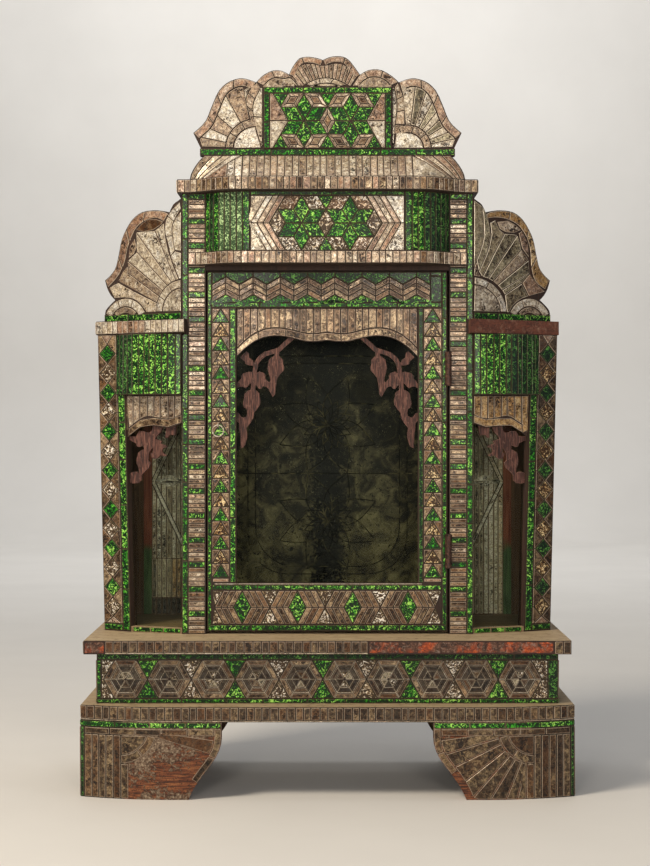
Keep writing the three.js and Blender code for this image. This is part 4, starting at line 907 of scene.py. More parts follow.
def frieze():
    """Ten hexagons in a row, with green and silver foil glass by turns in the gaps between them."""
    face = flat_front(FRIEZE_LOW[1])
    low, high = FRIEZE_LOW, FRIEZE_HIGH
    foot, head = low[2] + 7.2, low[2] + 63.0
    middle, half_height = (foot + head) / 2, (head - foot) / 2
    centres = np.linspace(-293, 279.3, 10)
    half_width = (centres[1] - centres[0]) / 2
    rows = [
        (upright(low[0] + MARGIN, high[0] - MARGIN, low[2] + 0.3, foot - 0.3, 62), "green", THIN),
        # The top band under the altar ledge and the right end are dark green, partly painted shade
        (upright(low[0] + MARGIN, high[0] - MARGIN, head + 0.4, high[2] - MARGIN, 62), "deep", THIN),
        (cells([low[0] + MARGIN], [low[0] + 6.4], foot, head), "green", THIN),
        (cells([high[0] - 15], [high[0] - MARGIN], foot, head), "deep", THIN),
    ]
    laid = {kind: [] for kind in ("tan", "ash", "night", "crinkle", "fog", "edge")}
    for x in centres:
        for kind, tiles in hexagon_tiles(np.array([x, middle]), half_width, half_height).items():
            laid[kind].extend(tiles)
    rows += [(np.array(tiles), kind) for kind, tiles in laid.items()]
    ends = np.concatenate([[low[0] + 7], (centres[:-1] + centres[1:]) / 2, [high[0] - 15.5]])
    for i, x in enumerate(ends):
        kind = "green" if i % 2 == 1 else "crinkle"
        for sign in (-1, 1):
            left = centres[i - 1] + half_width / 2 if i else x
            right = centres[i] - half_width / 2 if i < len(centres) else x
            edge = middle + sign * half_height
            gap = [(left, edge), (x, middle), (right, edge)]
            if i == 0:
                gap[1:2] = [(left, middle), (centres[0] - half_width, middle)]
            if i == len(centres):
                gap[1:2] = [(centres[-1] + half_width, middle), (right, middle)]
            rows.append((polygons(gap), kind, THIN))
    lay("frieze_front_glass", face, rows)
    for side in (-1, 1):
        flank = wall([(high[0], low[1] + 1), (high[0], 142)])
        rows = [
            (upright(0.4, 258, low[2] + 0.3, foot - 0.3, 62), "green", THIN),
            (upright(0.4, 258, foot, head), "ash"),
        ]
        lay(f"frieze_{HANDS[side]}_glass", flank, rows, side)


def altar_ledge():
    """Upper ledge: strips on the left and at the far right, chipped red ground where they are lost."""
    low, high = ALTAR_LOW, ALTAR_HIGH
    face = flat_front(low[1])
    whole_from, lost_from, lost_to = -319.0, 58.0, 326.0
    rows = [
        (upright(whole_from, lost_from, low[2] + 2.0, high[2] - 0.5, LEDGE_STRIP), "ash"),
        (upright(whole_from, lost_from, low[2] + 0.3, low[2] + 2.0, 30), "pearl"),
        (upright(lost_to, high[0] - 0.5, low[2] + MARGIN, high[2] - 0.5), "ash"),
    ]
    lay("altar_ledge_glass", face, rows)
    flank = wall([(-low[0], low[1]), (-low[0], high[1])])
    strips = upright(1, high[1] - low[1] - 1, low[2] + 0.5, high[2] - 0.5)
    lay("altar_ledge_left_side_glass", flank, [(strips, "ash")], -1)
    worn = [(low[0], whole_from), (lost_from, lost_to)]
    for name, (start, stop) in zip(("chipped_altar_edge_left", "chipped_altar_edge_right"), worn):
        across = max(2, int((stop - start) / 2.5))
        x, z = np.meshgrid(np.linspace(start + 0.6, stop - 0.6, across),
                           np.linspace(low[2] + 0.8, high[2] - 0.8, 8))
        lumps = 0.35 + 0.3 * np.sin(x * 0.37 + 1.3 * np.sin(z * 0.5)) * np.sin(z * 0.61 + x * 0.11)
        rim = (np.minimum(x - x.min(), x.max() - x) < 0.01) | (np.minimum(z - z.min(), z.max() - z) < 0.01)
        y = low[1] - np.where(rim, -0.5, lumps)
        grid_piece(name, x, y, z, CHIPPED)


def grid_piece(name, x, y, z, finish):
    """A closed slab of bare wood whose front is a grid of points and whose back is that grid moved back."""
    rows, columns = x.shape
    front = np.stack([x, y, z], -1).reshape(-1, 3)
    rear = front + [0, 0.8, 0]
    number = np.arange(rows * columns).reshape(rows, columns)
    a, b, c, d = number[:-1, :-1], number[:-1, 1:], number[1:, 1:], number[1:, :-1]
    quads = np.stack([a, b, c, d], -1).reshape(-1, 4)
    around = np.concatenate([number[0], number[1:, -1], number[-1, -2::-1], number[-2:0:-1, 0]])
    after = np.roll(around, -1)
    total = rows * columns
    sides = np.c_[around, around + total, after + total, after]
    faces = np.concatenate([quads, quads[:, ::-1] + total, sides])
    new_piece(name, np.vstack([front, rear]), faces.tolist(), [finish], "cabinet")


# Cabinet front

def pier_glass(side):
    """A pier: a green strip at its outer edge and a ladder of tan and silver strips with green blocks."""
    face = flat_front(PIER_LOW[1])
    low, high = PIER_LOW, PIER_HIGH
    ladder_in, ladder_out = low[0] + 1.2, high[0] - 9.6
    period, first = 36.3, low[2] + 30
    rows = [(stacked(high[0] - 9.0, high[0] - MARGIN, low[2] + 1, SHELF_LOW[2] - 0.5, 55), "green", THIN),
            (stacked(high[0] - 9.0, high[0] - MARGIN, SHELF_HIGH[2], high[2] - 0.5, 55), "green", THIN)]
    greens = first + period * np.arange(int((high[2] - first) / period) + 1)
    greens = greens[(greens < LOWER_LOW[2] - 4) | (greens > LOWER_HIGH[2] + 4)]
    half = 4.2
    red = 10 if side > 0 else 11
    tan = []
    floors = np.concatenate([[low[2] + 0.6], greens + half + 0.2])
    heads = np.concatenate([greens - half - 0.2, [high[2] - 0.6]])
    for floor, head in zip(floors, heads):
        parts = max(2, round((head - floor) / 7.0))
        edges = uneven(floor, head, parts)
        tan.append(cells(ladder_in, ladder_out, edges[:-1], edges[1:]))
    strips = np.concatenate(tan)
    bright = rng.random(len(strips)) < (0.45 if side < 0 else 0.2)
    rows += [(strips[~bright], "tan"), (strips[bright], "silver")]
    blocks = cells(ladder_in, ladder_out, greens - half, greens + half)
    keep = np.arange(len(blocks)) != red
    rows.append((blocks[keep], "green", THIN))
    rows.append((blocks[~keep], "copper", THIN))
    lay(f"pier_{HANDS[side]}_glass", face, rows, side)


def corner_post_glass(side):
    """A corner post: diamonds of green and foil glass by turns, with plates cut to fit beside them."""
    face = wall([POST_INNER, POST_OUTER], lean=WING_LEAN)
    width = math.dist(POST_INNER, POST_OUTER)
    low, high = FLOOR_LOW[2], POST_HIGH[2]
    inner, outer = 14.2, width - 0.6
    middle, pitch = (inner + outer) / 2, 29.2
    count = 14
    centres = high - 29.0 - pitch * np.arange(count)
    half_w, half_h = 14.6, pitch / 2 - 0.2
    diamond = np.array([(0, -half_h), (half_w, 0), (0, half_h), (-half_w, 0)])
    diamonds = np.c_[np.full(count, middle), centres][:, None] + diamond
    green = np.arange(count) % 2 == 0
    head = high - 0.6
    between = (centres[:-1] + centres[1:]) / 2
    notches = np.concatenate([[centres[0] + half_h], between, [centres[-1] - half_h]])
    plates = []
    for k, notch in enumerate(notches):
        top = centres[k - 1] if k else head
        foot = centres[k] if k < count else low + 11.5
        for edge, shoulder in ((inner, middle - half_w), (outer, middle + half_w)):
            near_top = (shoulder, top) if k else (middle + (shoulder - middle) * 0.7, head)
            plates.append([(edge, top), (edge, foot), (shoulder, foot), (middle, notch), near_top])
    caps = polygons([(middle - half_w * 0.7, head), (middle + half_w * 0.7, head), (middle, notches[0])],
                    [(middle - half_w, low + 11.5), (middle + half_w, low + 11.5), (middle, notches[-1])])
    # The right post takes darker kinds than the left (dark green, gold foil, ash), as painted shade
    foil = "crinkle" if side < 0 else "gold"
    rows = [
        (diamonds[green], "green" if side < 0 else "deep", 1.5), (diamonds[~green], foil, 1.5),
        (np.array(plates), "tan" if side < 0 else "ash"), (caps, "copper"),
        (cells(inner, outer, [low + 1.5], [low + 10.8]), "green", THIN),
        (stacked(1.0, inner - 0.8, low + 1.5, high - 0.6, 62), "green", THIN),
    ]
    lay(f"corner_post_{HANDS[side]}_glass", face, rows, side)


def valance_rows(feet, head, lift, pitch, parts, steps, kinds):
    """Upright strips under a level head, over a band that follows the valance's shaped foot."""
    lifted = feet + [0, lift]
    strips = hung(feet[0, 0] + 0.5, feet[-1, 0] - 0.5, head, lifted + [0, 0.6], pitch)
    return [(strips, kinds[0], 1.1), (band(feet + [0, 0.4], lifted, parts, steps), kinds[1], 1.1)]


def wing_front_glass(side):
    """Wing front: valance strips over a shaped band, a green sill strip and the green drum above."""
    hand = HANDS[side]
    node = f"wing_valance_{hand}"
    points = points_of(node)
    along = (np.abs(points[:, 0]) - WING_ROOT) / math.cos(WING_CANT)
    xs = np.unique(np.round(along, 1))
    feet = np.array([(x, points[np.abs(along - x) < 0.15][:, 2].min()) for x in xs])
    feet = feet[feet[:, 1] < points[:, 2].max() - 5]
    face = canted((WING_ROOT, WING_FRONT), WING_CANT)
    head = points[:, 2].max() - 0.5
    kinds = ("gilt", "gilt") if side > 0 else ("silver", "tan")
    lay(f"wing_valance_{hand}_glass", face, valance_rows(feet, head, 12.2, 10.8, 3, 4, kinds), side)
    sill = wall([(WING_ROOT + 1, WING_FRONT + 0.35), (293, WING_FRONT + 77 * math.tan(WING_CANT))])
    strips = upright(0.4, 78, FLOOR_LOW[2] + MARGIN, FLOOR_HIGH[2] - 0.3, 26)
    lay(f"wing_sill_{hand}_glass", sill, [(strips, "green", THIN)], side)
    line = bowed(DRUM_START, DRUM_END, DRUM_RISE)
    length = way_along(line)[-1]
    drum = wall(line)
    edges = uneven(0.6, length - 0.6, 12, 0.16)
    strips = cells(edges[:-1], edges[1:], DRUM_LOW[2] + MARGIN, DRUM_HIGH[2] - MARGIN)
    # The right drum has fewer bright green strips than the left, as painted shade on its shaded side
    bright = 8 if side < 0 else 5
    lay(f"wing_drum_{hand}_glass", drum, [(strips[:bright], "green"), (strips[bright:], "deep")], side)


def wing_top_glass(side):
    """Wing top: shelf edge strips on the left, a green rail, and the shell crest's glass."""
    hand = HANDS[side]
    if side < 0:
        line = np.array([(SHELF_LOW[0], SHELF_LOW[1]), (SHELF_HIGH[0], -10.0)])
        front = wall(line)
        length = way_along(line)[-1]
        flank = wall([(SHELF_HIGH[0], -10.0), (SHELF_HIGH[0], SHELF_HIGH[1])])
        strips = upright(0.5, length - 0.4, SHELF_LOW[2] + MARGIN, SHELF_HIGH[2] - MARGIN)
        middle = np.abs(strips[:, 0, 0] / length - 0.55) < 0.14
        rows = [(strips[~middle], "pearl"), (strips[middle], "copper"),
                (upright(0.5, SHELF_HIGH[1] + 9, SHELF_LOW[2] + MARGIN, SHELF_HIGH[2] - MARGIN), "silver",
                 GLASS, flank)]
        lay(f"wing_shelf_{hand}_glass", front, rows, side)
    rail = canted((CREST_START[0] + math.sin(CREST_CANT), CREST_START[1] - math.cos(CREST_CANT)), CREST_CANT)
    strips = upright(0.8, 145.5, RAIL_LOW[2] + MARGIN, RAIL_HIGH[2] - MARGIN, 42)
    lay(f"side_rail_{hand}_glass", rail, [(strips, "green", THIN)], side)
    side_crest_glass(side)


def between_lines(lines, steps=4):
    """Plates between neighbouring lines that all run outwards from the same root."""
    lines = [resampled(np.array(line, float), steps) for line in lines]
    return np.array([np.vstack([a, b[::-1]]) for a, b in zip(lines, lines[1:])])


def left_shell():
    """Left side crest's plates under its band: fan strips at the foot, one broad speckled field, three
    lens-shaped slips under the band, and a ringed lobe against the pier. Then the band's inner line, the
    ring's inner and outer reach, and the radii of the arch."""
    rows = [
        (between_lines([[(48.3, 1), (66.6, 1.2), (73.2, 10.6), (81.3, 17.6), (91.5, 22.7), (106, 25),
                         (127, 24.5)], [(46, 15.4), (90, 34), (121, 49), (137, 41)]], 10), "pearl"),
        (between_lines([[(46, 15.4), (119, 50)], [(41.4, 24.7), (100.3, 61.6)],
                        [(35.2, 33), (101.6, 80.5)]]), "silver"),
        (between_lines([[(35.2, 33), (101.6, 80.5)], [(26.5, 40.3), (84.3, 93)], [(18.3, 44.8), (86, 123)],
                        [(10.5, 47.4), (50, 123.5)],
                        [(4.8, 48.3), (22.6, 84), (27.6, 104.5), (33, 119.7), (32.6, 134)]]), "pearl"),
        (polygons([(0.8, 49), (0.8, 88), (12, 91), (20.5, 84), (10, 60), (4.2, 49)]), "pearl"),
        (polygons([(86.6, 125.9), (75, 135), (62.5, 141.2), (47, 140.6), (33.6, 136.4), (36.1, 131.5),
                   (51.9, 124), (70.5, 121.9)]), "ash"),
        (polygons([(100.1, 83.2), (97.4, 102.1), (87.9, 114.4), (83.9, 99.4), (89.3, 90.1)]), "silver"),
        (polygons([(120.4, 50.1), (110.9, 64.6), (101.4, 72.7), (100.1, 62), (104.1, 54.8)]), "silver"),
    ]
    inner = [(139.5, 41.3), (119, 58.6), (106.8, 79.3), (100.1, 102.3), (86.6, 127), (67.9, 138.6),
             (46.6, 141.6), (33.4, 135.6)]
    lobe = ([(3, 163.5), (20.3, 150.5), (29.5, 136.4), (30.8, 119.7), (25.6, 104.8), (20.3, 83.7)],
            [(0.9, 153.4), (11.2, 139.5), (17.7, 127.4), (16.4, 112.7), (12.5, 91.7)])
    heart = np.vstack([[(0.8, 90), (0.8, 150)], spline(lobe[1][1:], 3), [(11, 92)]])
    rows += [(band(spline(lobe[0]), spline(lobe[1]), 3, 5), "pearl"), (heart[None], "pearl")]
    return rows, inner, ((35, 35), (47, 47)), (30.0, 20.6)


def right_shell():
    """Right side crest's plates under its band: long clouded strips that fan from the ring. Then the same
    measures as for the left one."""
    lines = [
        [(0.8, 66), (0.8, 110), (0.8, 166)],
        [(5.5, 76.4), (15.7, 97.7), (20, 116.5), (17, 157)],
        [(9.9, 60.4), (22.9, 84.1), (28.8, 98.4), (33.2, 117.2), (26, 144)],
    ]
    rows = [
        (between_lines(lines, 6), "fog"),
        (polygons([(9.9, 60.4), (22.9, 84.1), (28.8, 98.4), (33.2, 117.2), (30.5, 134), (40, 138.6),
                   (48.5, 124.6), (58.2, 119.4), (37.6, 87.2), (16.5, 52.6)]), "fog"),
        (polygons([(16.5, 52.6), (37.6, 87.2), (58.2, 119.4), (76, 119.4), (82.6, 118.4), (27.3, 50.3)],
                  [(27.3, 50.3), (55, 84.5), (82.6, 118.4), (87, 108), (90.6, 97), (36.1, 46.6)]), "fog"),
        (polygons([(36.1, 46.6), (90.6, 97), (104.6, 82.4), (44.6, 41.4)]), "silver"),
        (polygons([(44.6, 41.4), (104.6, 82.4), (106, 61.5), (53, 34.3)],
                  [(53, 34.3), (106, 61.5), (91, 46.5), (58.6, 27.4)]), "fog"),
        (polygons([(84.5, 121.4), (91, 125.4), (102.5, 107.6), (105.4, 84.4), (91.3, 98.4)],
                  [(91.5, 46.8), (106, 61), (124, 43.5), (136.5, 34.8), (104.5, 27.0)]), "copper"),
        (polygons([(58.6, 27.4), (91, 46.2), (103.6, 26.8), (91.5, 22.7), (81.3, 17.6), (73.2, 10.6),
                   (66.8, 1.2), (62.2, 1.2)]), "fog"),
        (polygons([(0.8, 53.2), (14, 52.4), (9, 60), (5, 75), (0.8, 65)]), "silver"),
        (polygons([(43.5, 136.4), (64.1, 139.6), (80, 133.4), (90.4, 126.2), (76, 120.7), (61.2, 121),
                   (49.3, 125.1)]), "silver"),
    ]
    inner = [(136.2, 38.4), (118, 48.4), (109.6, 66.9), (107.5, 85.7), (105.4, 102.2), (96.4, 120.6),
             (82, 133.9), (58.2, 141.4), (34.6, 141.4), (22.9, 138)]
    return rows, inner, ((50, 40), (61, 51)), (30.0, 20.6)


def side_crest_glass(side):
    """Side crest: a copper or gilt band round the shell, its own plates, a ringed quarter disc at the root
    and a small arch at the outer foot."""
    face = raised(canted(CREST_START, CREST_CANT), RAIL_HIGH[2])
    width, height = 145.0, 168.4
    shell = spline(np.array([[0.168, 0.873], [0.22, 0.893], [0.32, 0.908], [0.44, 0.909], [0.54, 0.893],
                             [0.64, 0.84], [0.72, 0.757], [0.78, 0.663], [0.81, 0.562], [0.835, 0.479],
                             [0.865, 0.411], [0.93, 0.352], [1, 0.311]]) * [width, height])
    rows, inner, ring, arch_radii = left_shell() if side < 0 else right_shell()
    rows.append((band(shell, spline(inner[::-1]), 4, 6), "gilt" if side > 0 else "copper"))
    root, arch = np.array([0.8, 0.8]), np.array([106.0, -19.0])
    quarter = arc((0, 0), 1, 1, 89, 12)
    disc = np.vstack([[root], root + quarter * (np.array(ring[0]) - 0.6)])
    rows += [(disc[None], "pearl"), (band(root + quarter * ring[0], root + quarter * ring[1], 3, 4), "pearl"),
             (ring_part(arch, arch_radii[0] + 0.5, 43.0, 29, 151, 3), "pearl"),
             (ring_part(arch, arch_radii[1], arch_radii[0], 44, 136, 1, 8), "silver")]
    lay(f"side_crest_{HANDS[side]}_glass", face, rows, side)


# Cornices, fascia and roof

def cornice_glass(node, kinds):
    """Upright strips round a cornice's bowed front."""
    low, high = size_of(node)
    line = level_edge(node, low[2])
    face = wall(line)
    length = way_along(line)[-1]
    strips = upright(0.5, length - 0.5, low[2] + 0.5, high[2] - 0.5, 10.0)
    chance = rng.random(len(strips))
    warm, dull = chance < kinds[0], chance > 1 - kinds[1]
    warm[:1], dull[:1] = True, False
    rows = [(strips[mask], kind) for mask, kind in
            ((~warm & ~dull, "silver"), (warm, "copper"), (dull, "tan"))]
    if node == "upper_cornice":
        for way in (wall([(high[0], line[-1, 1]), (high[0], high[1])]),
                    wall([(low[0], high[1]), (low[0], line[0, 1])])):
            rows.append((upright(0.6, high[1] - line[-1, 1] - 0.6, low[2] + 0.5, high[2] - 0.5, 10.0),
                         "silver", GLASS, way))
    lay(f"{node}_glass", face, rows)


def star(centre, half_width, half_height):
    """Six rhombi meeting at a point, and the lozenges in the notches above and below."""
    turn = np.radians(np.arange(0, 360, 30))
    unit = np.stack([np.cos(turn) * half_width / math.cos(math.pi / 6), np.sin(turn) * half_height], 1)
    tips, notches = unit[1::2], unit[::2] / math.sqrt(3)
    rhombi = [[notches[0] * 0, notches[k], tips[k], notches[(k + 1) % 6]] for k in range(6)]
    lozenges = [[notches[k], tips[k], 2 * notches[k], tips[k - 1]] for k in (1, 2, 4, 5)]
    return np.array(rhombi) + centre, np.array(lozenges) + centre


def centre_lozenge(half_width, half_height, middle, x):
    """The upright lozenge between two stars."""
    return np.array([(-half_width / 3, 0), (0, -half_height / 2), (half_width / 3, 0),
                     (0, half_height / 2)]) + [x, middle]


def notch_triangles(half_width, half_height, middle, x):
    """The triangles above and below the lozenge between two stars."""
    above = np.array([(-half_width / 3, half_height), (half_width / 3, half_height), (0, half_height / 2)])
    return np.array([above, above * [1, -1]]) + [x, middle]


def fascia_panel():
    """Star panel: two green stars among foil lozenges, with pale and copper chevrons at each end."""
    face = flat_front(FASCIA_LOW[1])
    low, high = FASCIA_LOW, FASCIA_HIGH
    foot, head = low[2] + MARGIN, high[2] - 7.0
    middle, half_h = (foot + head) / 2, (head - foot) / 2
    half_w, centre = 35.4, -2.4
    stars = [star((x, middle), half_w, half_h) for x in (centre - half_w, centre + half_w)]
    rhombi, foil = [np.concatenate(part) for part in zip(*stars)]
    ends = [centre_lozenge(half_w, half_h, middle, centre + x) for x in (-2 * half_w, 0, 2 * half_w)]
    plates = {"silver": [], "pearl": [], "copper": []}
    for side in (-1, 1):
        tip = centre + side * half_w * 7 / 3
        top = centre + side * half_w * 5 / 3
        edge, last = (low[0] + 0.6, "pearl") if side < 0 else (high[0] - 0.6, "copper")
        reach = abs(edge - tip)
        steps = np.minimum([0.3, 9.4, 18.4, 27.4], reach)
        for sign in (-1, 1):
            level = middle + sign * half_h
            for near, far, kind in zip(steps, steps[1:], ("copper", "silver", last)):
                plates[kind].append([(tip + side * near, middle), (tip + side * far, middle),
                                     (top + side * far, level), (top + side * near, level)])
            plates["pearl"].append([(tip + side * steps[-1], middle), (edge, middle), (edge, level),
                                    (top + side * steps[-1], level)])
    rows = [
        (rhombi, "green", 1.0),
        (foil[[0, 2, 3, 6]], "crinkle", 1.0), (foil[[1, 4, 5, 7]], "rose", 1.0),
        (np.array(ends), "crinkle", 1.0),
        (notch_triangles(half_w, half_h, middle, centre), "green", THIN),
        (upright(low[0] + 0.5, high[0] - 0.5, head + 0.4, high[2] - MARGIN, 56), "deep", THIN),
    ]
    rows += [(np.array(tiles), kind) for kind, tiles in plates.items()]
    lay("fascia_star_panel_glass", face, rows)


def fascia_drum_glass(side):
    """Bowed green drum beside the star panel."""
    line = level_edge("fascia_drum_right", FASCIA_LOW[2])
    face = wall(line)
    length = way_along(line)[-1]
    edges = uneven(0.5, length - 0.5, 8, 0.1)
    strips = cells(edges[:-1], edges[1:], FASCIA_LOW[2] + MARGIN, FASCIA_HIGH[2] - MARGIN)
    # The right drum is mostly dark green as painted shade; the left one takes four pale sage strips as a
    # painted highlight
    kinds = ["green"] * 3 + ["deep"] * 5
    if side < 0:
        kinds = ["green"] + ["sage"] * 4 + ["green", "deep", "green"]
    rows = [(strips[k:k + 1], kind) for k, kind in enumerate(kinds)]
    lay(f"fascia_drum_{HANDS[side]}_glass", face, rows, side)


def roof_glass():
    """Roof: upright strips across the middle, plates cut under each hip line, and bent plates from the
    hips to the round shoulders. The left hip has two near-white strips, the right one cream plate."""
    face = slope_front("roof_hood")
    low, high = ROOF_LOW[2] + MARGIN, ROOF_HIGH[2] - MARGIN
    strip_half, hip_foot, hip_head = 125.0, 181.0, 128.0
    rows = [(upright(-strip_half, strip_half, low, high), "silver")]

    def under_hip(start, stop):
        """A plate from the foot up to the hip line, its edges in short steps so that it bends."""
        x = np.linspace(start, stop, max(2, round(abs(stop - start) / 11)) + 1)
        head = np.interp(x, [hip_head, hip_foot], [high, low + 1.0]) - 0.4
        return np.vstack([np.c_[x, np.full(len(x), low)], np.c_[x, head][::-1]])

    for start, stop, kind in ((125.5, 136.5, "pearl"), (136.5, 147.5, "pearl"), (147.5, 179, "copper")):
        rows.append((mirrored(under_hip(start, stop))[None], kind))
    rows.append((under_hip(125.5, 179)[None], "pearl"))
    levels = np.linspace(low, high, 5)
    shoulder = ROOF_HIGH[0] - 1.2 - 21 * ((levels - ROOF_LOW[2]) / (ROOF_HIGH[2] - ROOF_LOW[2])) ** 1.7
    hip = np.interp(levels, [low, high], [hip_foot, hip_head])
    shares = np.linspace(0, 1, 5)
    sides = [hip + (shoulder - hip) * share for share in shares]
    plates = np.array([np.vstack([np.c_[right, levels], np.c_[left, levels][::-1]])
                       for left, right in zip(sides, sides[1:])])
    rows += [(mirrored(plates[:3]), "pearl"), (mirrored(plates[3:]), "silver"),
             (plates[:2], "silver"), (plates[2:], "copper")]
    lay("roof_hood_glass", face, rows)
    low, high = TOP_RAIL_LOW, TOP_RAIL_HIGH
    strips = upright(low[0] + MARGIN, high[0] - MARGIN, low[2] + MARGIN, high[2] - MARGIN, 54)
    lay("top_rail_glass", flat_front(low[1]), [(strips, "green", THIN)])


# Top crest

# Lines of the crown and of the lobes beside it, counted from the head of the star panel
CROWN_OUTER = np.array([(-52, 15.4), (-42.3, 29), (-34.1, 33.6), (-20.7, 34.2), (-6.6, 31.6), (10.5, 34.6),
                        (20.9, 34), (29.8, 29.8), (37.2, 23.4), (45, 17)])
CROWN_ARCH = np.array([(-38.4, 0.4), (-25.2, 7.6), (-14.8, 11.6), (-2.9, 13.2), (10.5, 11.4), (23.8, 6),
                       (34, 0.4)])
CROWN_BOW = np.array([(-25.4, 0.8), (-11.8, 4.6), (-2.9, 5.6), (9, 4.4), (18.8, 0.8)])
LOBE_LEFT = np.array([(-95, 2), (-86.5, 10.2), (-77, 14), (-64, 12.6), (-54, 13.6), (-42.5, 0.8)])
LOBE_RIGHT = np.array([(45.4, 0.8), (52.1, 8.5), (62.5, 14.2), (74.4, 14.6), (84.8, 10.8), (94.5, 2)])


def skyline(node):
    """Upper outline of a board's front face, left to right, its levels counted from its foot."""
    points = points_of(node)
    points[:, 2] -= points[:, 2].min()
    points = points[(points[:, 1] < points[:, 1].min() + 0.1) & (points[:, 2] > 1)]
    return limits(points[:, 0], points[:, 2], np.max)


def stretch(line, start, stop):
    """The part of a left-to-right line between two places."""
    return line[(line[:, 0] > start - 0.15) & (line[:, 0] < stop + 0.15)]


def crest_crown(crest, left, cusp, right, panel_top):
    """Crown of the top crest: a copper band, sixteen strips fanned from two arcs over the panel."""
    rows = []
    for start, stop in ((left, cusp), (cusp, right)):
        line = stretch(crest, start, stop) * 0.997
        rows.append((band(line, beside(line, -8.6), 2, 6), "copper"))
    outer = spline(CROWN_OUTER + [0, panel_top])
    arch = spline(CROWN_ARCH + [0, panel_top])
    bow = spline(CROWN_BOW + [0, panel_top])
    strips = band(outer, arch, 16, 2)
    sill = np.c_[bow[:, 0], np.full(len(bow), panel_top + 0.3)]
    rows += [(strips[::2], "copper"), (strips[1::2], "silver"),
             (band(arch[4:-4], bow, 3, 5), "pearl"), (band(bow - [0, 0.4], sill, 1, 8), "pearl")]
    return rows


def crest_lobe(line, lobe, panel_top):
    """Second lobe: a band from its outline down to an inner arc, and one speckled plate under the arc."""
    line, lobe = line * 0.997, lobe + [0, panel_top]
    inner = spline(lobe)
    outer = np.vstack([line, [[inner[-1, 0] - 9 * np.sign(inner[-1, 0]), panel_top + 0.8]]])
    sill = [(inner[-1, 0], panel_top + 0.4), (inner[0, 0], panel_top + 0.4)]
    plate = np.vstack([inner[::3] - [0, 0.4], sill])
    return [(band(outer, inner, 3, 6), "copper"), (plate[None], "silver")]


def crest_flank(line, disc_x, ring_in, ring_out, turns, narrow, panel_half, panel_top, kinds):
    """Flank of the top crest, drawn for the right-hand side: a copper band, a ringed quarter disc, a fan
    between them, and two bowed plates beside the panel."""
    line = line * 0.997
    inner = beside(line, -11.5)
    inner = np.vstack([inner[inner[:, 0] < 185], [[190.6, 15.0]]])
    disc = np.array([disc_x, 0.0])
    limit = reach_to(disc, np.vstack([inner, [[189.8, 12.0], [186.0, 0.8]]]))
    strips = fan(disc, turns, ring_out + 0.4, lambda turn: limit(turn) - 0.6, 4)
    near = [(98.6, 4), (107.6 - narrow, 36.5), (110.4 - narrow, 64.9), (99.3, 90.8)]
    last = math.radians(turns[-1])
    root = disc + (ring_out + 0.8) * np.array([math.cos(last), math.sin(last)]) - [1.0, 0]
    far = [root, (120.9 - narrow, 70.6), (116 - narrow, 86), (104.5, 98.4)]
    beside_panel = np.array([(panel_half + 0.3, 2), (panel_half + 0.3, panel_top - 1)])
    wedge = [(107.5, 97.2), (117 - narrow, 86.5), (121.8 - narrow, 72.5), (124 - narrow, 87.5), (117, 92.2)]
    core = np.vstack([[(98.0, 0.8)], arc(disc, ring_in - 0.6, 1, 91), [(105.8 - narrow * 0.5, 26), (100, 9)]])
    return [(band(line, inner, 4, 5), "copper"),
            (strips[::2], kinds[0]), (strips[1::2], kinds[1]),
            (ring_part(disc, ring_in, ring_out, 2, 92 + 3 * narrow, 3), "silver"),
            (core[None], "pearl"),
            (band(beside_panel, spline(near, 6), 2, 6), "pearl"),
            (band(spline(near[1:], 6), spline(far, 6), 3, 5), "silver"),
            (polygons(wedge), "pearl")]


def top_crest_glass():
    """Top crest: crown over the panel, a lobe on each side of it, and two flanks cut differently."""
    face = raised(flat_front(CREST_LOW[1]), CREST_LOW[2])
    panel_half, panel_top = PANEL_HIGH[0] + 0.8, PANEL_HIGH[2] - CREST_LOW[2] + 0.8
    crest = skyline("top_crest")
    crown_left, cusp, crown_right = np.array([-0.287, -0.034, 0.242]) * CREST_HIGH[0]
    lobe_end = 0.5325 * CREST_HIGH[0]
    rows = crest_crown(crest, crown_left, cusp, crown_right, panel_top)
    rows += crest_lobe(stretch(crest, -lobe_end, crown_left), LOBE_LEFT, panel_top)
    rows += crest_lobe(stretch(crest, crown_right, lobe_end)[::-1], LOBE_RIGHT[::-1], panel_top)
    left = mirrored(stretch(crest, -CREST_HIGH[0], -lobe_end))[::-1]
    right = stretch(crest, lobe_end, CREST_HIGH[0])
    flank = crest_flank(left, 107, 33, 44, [2, 12, 24, 41, 61, 79], 0, panel_half, panel_top,
                        ("silver", "pearl"))
    rows += [(mirrored(tiles), kind) for tiles, kind in flank]
    rows += crest_flank(right, 119, 24, 35, [2, 12, 22, 32, 42, 52, 62, 72, 83, 95], 7, panel_half,
                        panel_top, ("pearl", "fog"))
    rows.append((polygons([(98.6, 22), (100.6, 36), (113.6, 34.6), (105.2, 32.6), (109.2, 22.4)]), "silver"))
    lay("top_crest_glass", face, rows)


